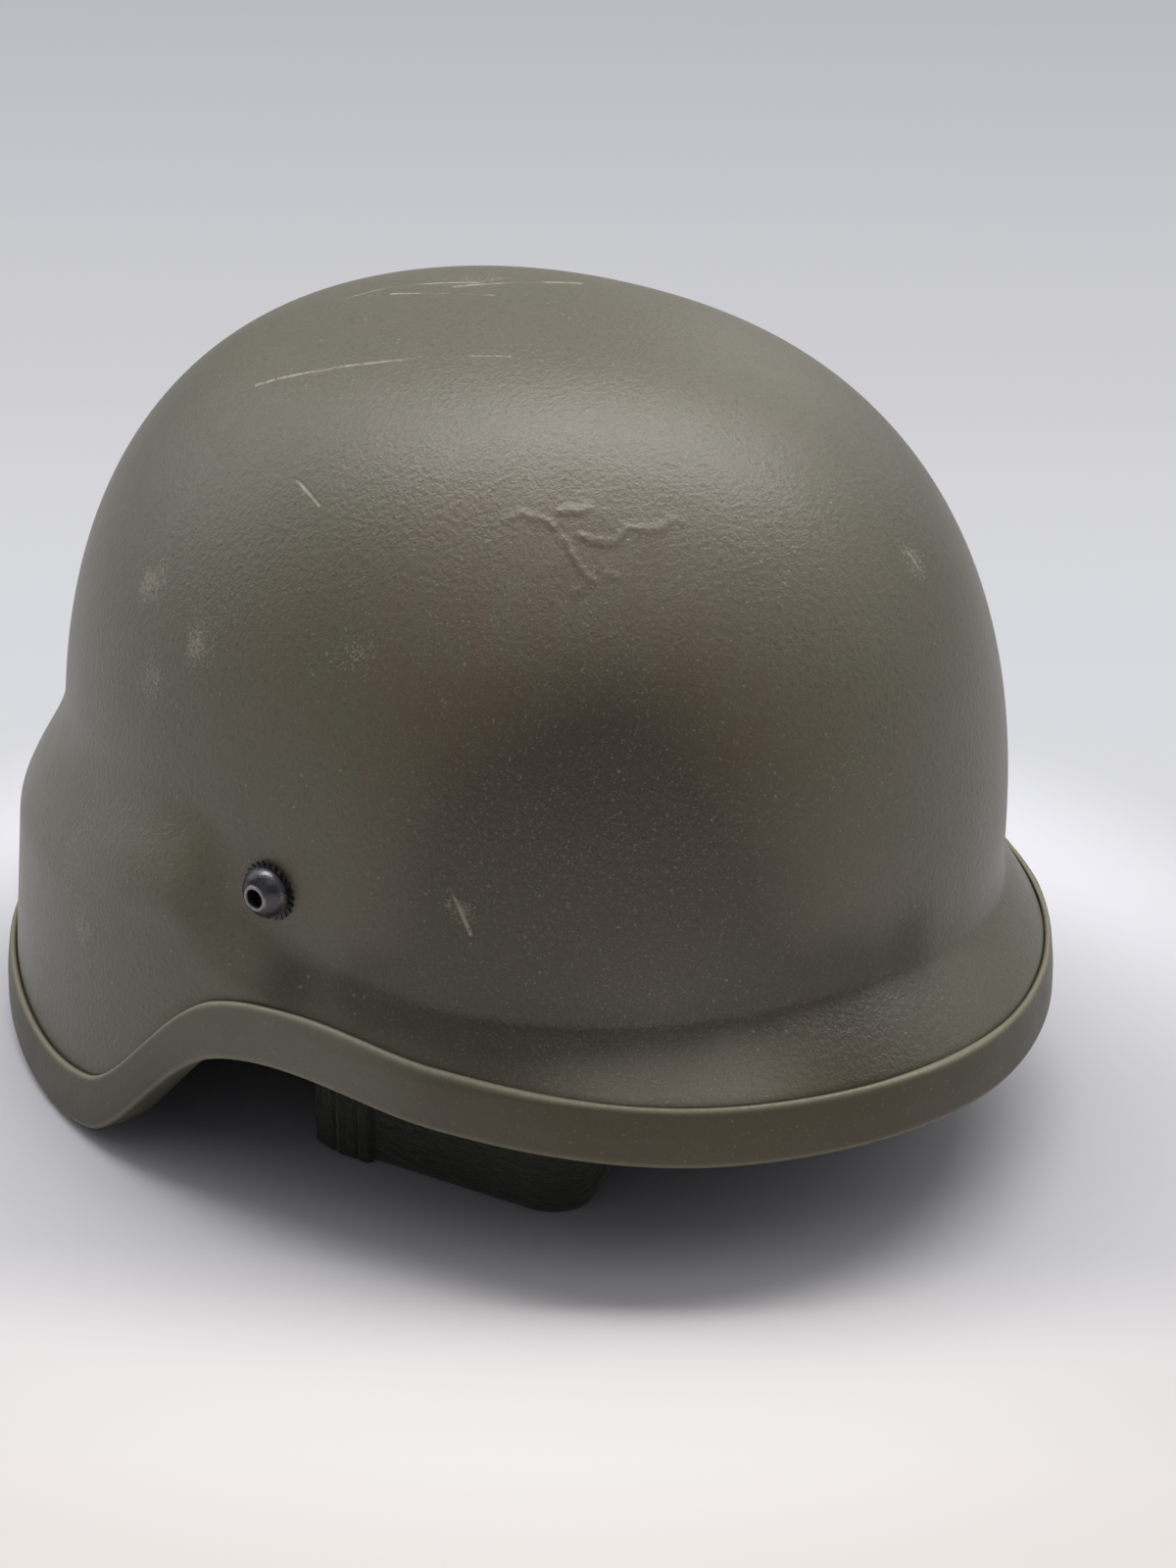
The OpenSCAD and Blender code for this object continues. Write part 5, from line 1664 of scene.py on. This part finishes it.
def cushion(name: str, line: BandLine, mid: float, height: float, thick: float, off: float,
            turn_in: Callable) -> bpy.types.Object:
    """Lays a cushion along a band's inner face, full in the middle.

    Args:
        name: the object's name.
        line: the band's line.
        mid: height of the cushion's middle.
        height: its height there.
        thick: its thickness.
        off: distance of its back from the line.
        turn_in: moves finished points into the helmet's frame.

    Returns:
        The cushion.
    """
    shares = ((0, 0.12), (0.3, 0.02), (0.7, 0), (0.95, 0.16), (0.86, 0.33), (1, 0.5),
              (0.86, 0.67), (0.95, 0.84), (0.7, 1), (0.3, 0.98), (0, 0.88))
    span = 33
    ring = softened([(depth, share * span) for depth, share in shares], 2.6, points=6)

    def place(run: np.ndarray, turn: np.ndarray) -> np.ndarray:
        """Point of the cushion's surface."""
        at = along_line(ring, turn)
        x, y, nx, ny = line.at(run)
        w = np.clip(1 - 0.94 * (2 * run - 1) ** 2, 0, 1) ** 0.4
        d = off + thick * at[:, 0] * w
        up = mid + (at[:, 1] / span - 0.5) * height * w
        local = np.stack([x - d * nx, y - d * ny, up], 1)
        return turn_in(local)

    made = mapped_sheet(name, 120, 90, place, closed=True, capped=True)
    crisp(made, 55.0)
    base, top = turn_in(np.array([[0.0, 0, mid], [0, 0, mid + 1]]))
    filled(made, [(top - base, float(base @ (top - base)) + side * height / 6)
                  for side in (-1, 1)])
    return made


def filled(piece: bpy.types.Object, seams: Sequence[tuple[np.ndarray, float]] = ()) -> None:
    """Lets a pad fill as cloth over foam and keeps the result in its mesh.

    The front starts a little smaller and swells under pressure without weight. The back,
    which lies on a band or on the straps, hardly moves. Sewn lines are drawn in afterwards.

    Args:
        piece: the pad, changed in place.
        seams: for each sewn line, a direction and its place along it in millimetres.
    """
    voxel, swell, pressure, steps = 2.0, 1.4, 4.0, 20
    seam_depth, seam_w, flat_out = 0.9, 1.3, 0.03
    even = piece.modifiers.new("even", "REMESH")
    even.mode = "VOXEL"
    even.voxel_size = voxel * MM
    bm = bmesh.new()
    bm.from_object(piece, bpy.context.evaluated_depsgraph_get())
    piece.modifiers.remove(even)
    bm.normal_update()
    out = np.array([v.normal[:] for v in bm.verts])
    start = np.array([v.co[:] for v in bm.verts])
    middle = start.mean(0)
    away = middle * [1, 1, 0] + [0, 0, 0.05 if abs(middle[1]) < flat_out else 0]
    front = 1 - np.clip(1.5 * out @ (away / np.linalg.norm(away)), 0, 1)[:, None]
    start -= out * front * 0.4 * swell * MM
    for v, at in zip(bm.verts, start):
        v.co = at
    bm.to_mesh(piece.data)
    bm.free()
    cloth = piece.modifiers.new("cloth", "CLOTH")
    cloth.settings.use_pressure = True
    cloth.settings.uniform_pressure_force = pressure
    cloth.settings.effector_weights.gravity = 0.0
    for step in range(1, steps + 1):
        bpy.context.scene.frame_set(step)
    shape = piece.evaluated_get(bpy.context.evaluated_depsgraph_get()).to_mesh()
    move = np.array([v.co[:] for v in shape.vertices]) - start
    piece.modifiers.remove(cloth)
    bpy.context.scene.frame_set(1)
    length = np.linalg.norm(move, axis=1)[:, None]
    now = start + move * np.minimum(1.0, swell * MM * (0.1 + 0.9 * front) / (length + 1e-9))
    for up, level in seams:
        line = np.exp(-((now @ up / MM - level) / seam_w) ** 2)[:, None]
        now -= out * front * seam_depth * MM * line
    for v, at in zip(piece.data.vertices, now):
        v.co = at
    for face in piece.data.polygons:
        face.use_smooth = True
    smooth = piece.modifiers.new("smooth", "SUBSURF")
    smooth.levels = smooth.render_levels = 1


@dataclass
class ChinStrap:
    """Chin strap stowed along the nape, with its pad and the strip on the buckle's plug."""

    hinge_y: float = -34.6387
    hinge_z: float = 59.6324
    stow: float = 17.5821
    arm_x: float = 97.0
    bend_u: float = 100.061
    reach: float = 155.061
    web_w: float = 16.0
    web_t: float = 1.8
    square: float = 2.1
    ends: tuple[float, ...] = (77.1, 14.3, 34.0)
    strip: tuple[float, ...] = (56.3, 85.1)
    pad_h: float = 17.68
    pad_off: float = 2.8

    def turned(self, local: np.ndarray) -> np.ndarray:
        """Moves points of the strap's frame into the helmet's."""
        c, s = math.cos(math.radians(self.stow)), math.sin(math.radians(self.stow))
        x, u, z = local.T
        return np.stack([x, self.hinge_y + u * c + z * s, self.hinge_z - u * s + z * c], 1)

    def loop(self, start: float = 0.0) -> Half:
        """Outer line of the strap's bend from one arm to the middle, and its directions."""
        return quarter(self.square, self.arm_x + self.web_t / 2, self.reach - self.bend_u,
                       self.bend_u, start, 80)

    def _web(self, name: str, plan: np.ndarray, columns: int) -> bpy.types.Object:
        """Webbing along a line in the strap's own plane."""
        local = np.concatenate([plan, np.zeros((len(plan), 1))], 1)
        wide = self.turned(np.array([[0, 0, 1.0]])) - self.turned(np.zeros((1, 3)))
        return ribbon(name, self.turned(local), np.tile(wide, (len(plan), 1)), self.web_w,
                      self.web_t, columns)

    def build(self) -> list[Part]:
        """Makes the webbing and the pad."""
        whole = BandLine.mirrored(self.loop())
        mid = whole.points - whole.out * self.web_t / 2
        tip, hinge, socket = self.ends
        right = np.concatenate([[[self.arm_x, tip]], mid, [[-self.arm_x, hinge]]])
        left = np.array([[self.arm_x, hinge], [self.arm_x, socket]])
        strip_x = self.arm_x + self.web_t + 0.3
        strip = np.array([[strip_x, end] for end in self.strip])
        pad = BandLine.mirrored(self.loop(66.0))
        return [
            Part(self._web("chin_web_right", right, 420), "chin_webbing_right", Slot.WEBBING,
                 Body.CHIN_STRAP),
            Part(self._web("chin_web_left", left, 40), "chin_webbing_left", Slot.WEBBING,
                 Body.CHIN_STRAP),
            Part(self._web("plug_strip", strip, 40), "plug_webbing", Slot.WEBBING, Body.PLUG),
            Part(cushion("chin_cushion", pad, 0.0, self.pad_h, 6, self.web_t + self.pad_off,
                         self.turned), "chin_pad", Slot.PAD_CLOTH, Body.CHIN_STRAP),
        ]


# ---------------------------------------------------------------- studio


def posed(right: Vector, back: Vector, at: Sequence[float]) -> Matrix:
    """Frame of a camera or lamp from its right and back directions and its place."""
    up = back.cross(right)
    return Matrix(((right.x, up.x, back.x, at[0]), (right.y, up.y, back.y, at[1]),
                   (right.z, up.z, back.z, at[2]), (0, 0, 0, 1)))


class Lamp(NamedTuple):
    """A soft lamp: name, place in metres, width and depth in metres, and power in watts."""

    name: str
    at: Point
    size: tuple[float, float]
    power: float


@dataclass
class Studio:
    """Camera, floor and light of the photo.

    The paper lists the floor's shades by their distance towards the camera in metres.
    """

    azimuth: float = -42.137
    elevation: float = 23.325
    roll: float = 0.712
    distance: float = 711.976
    lens: float = 63.676
    target: Point = (7.211, -16.997, 68.464)
    fill: float = 0.22
    sky: tuple[float, ...] = (0.92, 0.95, 1.0, 1)
    paper: tuple[tuple[float, str], ...] = (
        (-1.90, "b9bcc2"), (-1.37, "c0c2c7"), (-0.82, "cbcbd0"), (-0.62, "ceced3"),
        (-0.46, "d5d5da"), (-0.24, "d9dadf"), (-0.08, "dad9de"), (0.04, "cccbd0"),
        (0.118, "cbcacf"), (0.140, "d6d2d4"), (0.155, "dfdadb"), (0.183, "e4e0dd"),
        (0.200, "e9e4e1"), (0.25, "ebe5e1"))
    lamps: tuple[Lamp, ...] = (
        Lamp("window", (0.20, 0.17, 1.5), (2.2, 0.4), 25.5),
        Lamp("back_left", (-0.55, 1.45, 0.95), (1.2, 1.2), 5.8),
        Lamp("back_right", (1.45, 0.35, 0.95), (1.2, 1.2), 3.2),
        Lamp("side_right", (1.1, -0.85, 0.9), (1.2, 1.2), 3.0),
        Lamp("above_front", (-0.45, -0.5, 1.25), (0.8, 0.8), 1.5),
    )

    def camera(self) -> None:
        """Places the fitted camera."""
        az, el, roll = (math.radians(a) for a in (self.azimuth, self.elevation, self.roll))
        back = Vector((math.sin(az) * math.cos(el), -math.cos(az) * math.cos(el), math.sin(el)))
        right = Vector((math.cos(az), math.sin(az), 0))
        right = math.cos(roll) * right + math.sin(roll) * back.cross(right)
        data = bpy.data.cameras.new("camera")
        data.lens = self.lens
        data.sensor_width = 36
        data.clip_end = 30
        made = bpy.data.objects.new("camera", data)
        made.matrix_world = posed(right, back, (Vector(self.target) + back * self.distance) * MM)
        bpy.context.scene.collection.objects.link(made)
        bpy.context.scene.camera = made

    def _floor_finish(self) -> bpy.types.Material:
        """Pale paper, cool behind and warm near the camera; far off it shows as written, and round
        the helmet a faint glow seen by the camera lightens the shadow as painted light.
        """
        tree = Weaver("floor_paper")
        az, behind, span = math.radians(self.azimuth), 2.0, 2.25
        x, y, _ = tree.axes(tree.place())
        near = x * math.sin(az) + y * -math.cos(az)
        stops = [((at + behind) / span, linear(shade)) for at, shade in self.paper]
        shade = tree.node("ShaderNodeValToRGB", {"stops": stops}, {0: (near + behind) / span})
        made = tree.finish(shade, 0.8, gloss=0.2)
        away = tree.near((0, 0, 0))
        # Painted light: a faint glow 0.10 to 0.15 m from the middle lightens the helmet's shadow
        # for the camera.
        tree.shown(shade, away.between(0.17, 0.26).top(away.between(0.10, 0.15) * 0.035))
        return made

    def floor(self) -> None:
        """Lays the floor."""
        bm = bmesh.new()
        bmesh.ops.create_grid(bm, x_segments=2, y_segments=2, size=6.0)
        made = as_object(bm, "floor")
        made.data.materials.append(self._floor_finish())

    def lights(self) -> None:
        """Hangs the fitted lamps, turned along the camera's right, and fills from all round."""
        world = bpy.data.worlds.new("fill")
        bpy.context.scene.world = world
        world.use_nodes = True
        sky = world.node_tree.nodes["Background"]
        sky.inputs[0].default_value = self.sky
        sky.inputs[1].default_value = self.fill
        az = math.radians(self.azimuth)
        for lamp in self.lamps:
            data = bpy.data.lights.new(lamp.name, "AREA")
            data.shape = "RECTANGLE"
            data.size, data.size_y = lamp.size
            data.energy = lamp.power
            made = bpy.data.objects.new(lamp.name, data)
            back = (Vector(lamp.at) - Vector(self.target) * MM).normalized()
            right = Vector((math.cos(az), math.sin(az), 0))
            right = (right - back * back.dot(right)).normalized()
            made.matrix_world = posed(right, back, lamp.at)
            bpy.context.scene.collection.objects.link(made)

    def build(self) -> None:
        """Sets up camera, floor, light and colour transform."""
        self.camera()
        self.floor()
        self.lights()
        bpy.context.scene.view_settings.view_transform = "Standard"


PADDED = {"front_headband": 0.8, "rear_headband": 0.8, "crown_pad": 0.7, "nape_pad": 0.75,
          "chin_pad": 0.75}


def main() -> None:
    """Builds the scene and reports each piece."""
    logging.basicConfig(level=logging.INFO)
    Studio().build()
    finishes = Finishes()
    form, liner = HelmetForm(), LinerFrame()
    groups = (ShellSkin(form), RimTrim(form), SideFastener(liner), Fittings(),
              CrownCradle(liner), Headband(liner), ChinStrap())
    parts = [part for group in groups for part in group.build()]
    for piece, node, slot, body in parts:
        finishes.dress(piece, slot)
        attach(piece, body.value)
        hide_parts(node)
        node in PADDED
        LOG.info("%s stands for %s and rides on %s", piece.name, node, body.value)


if __name__ == "__main__":
    main()
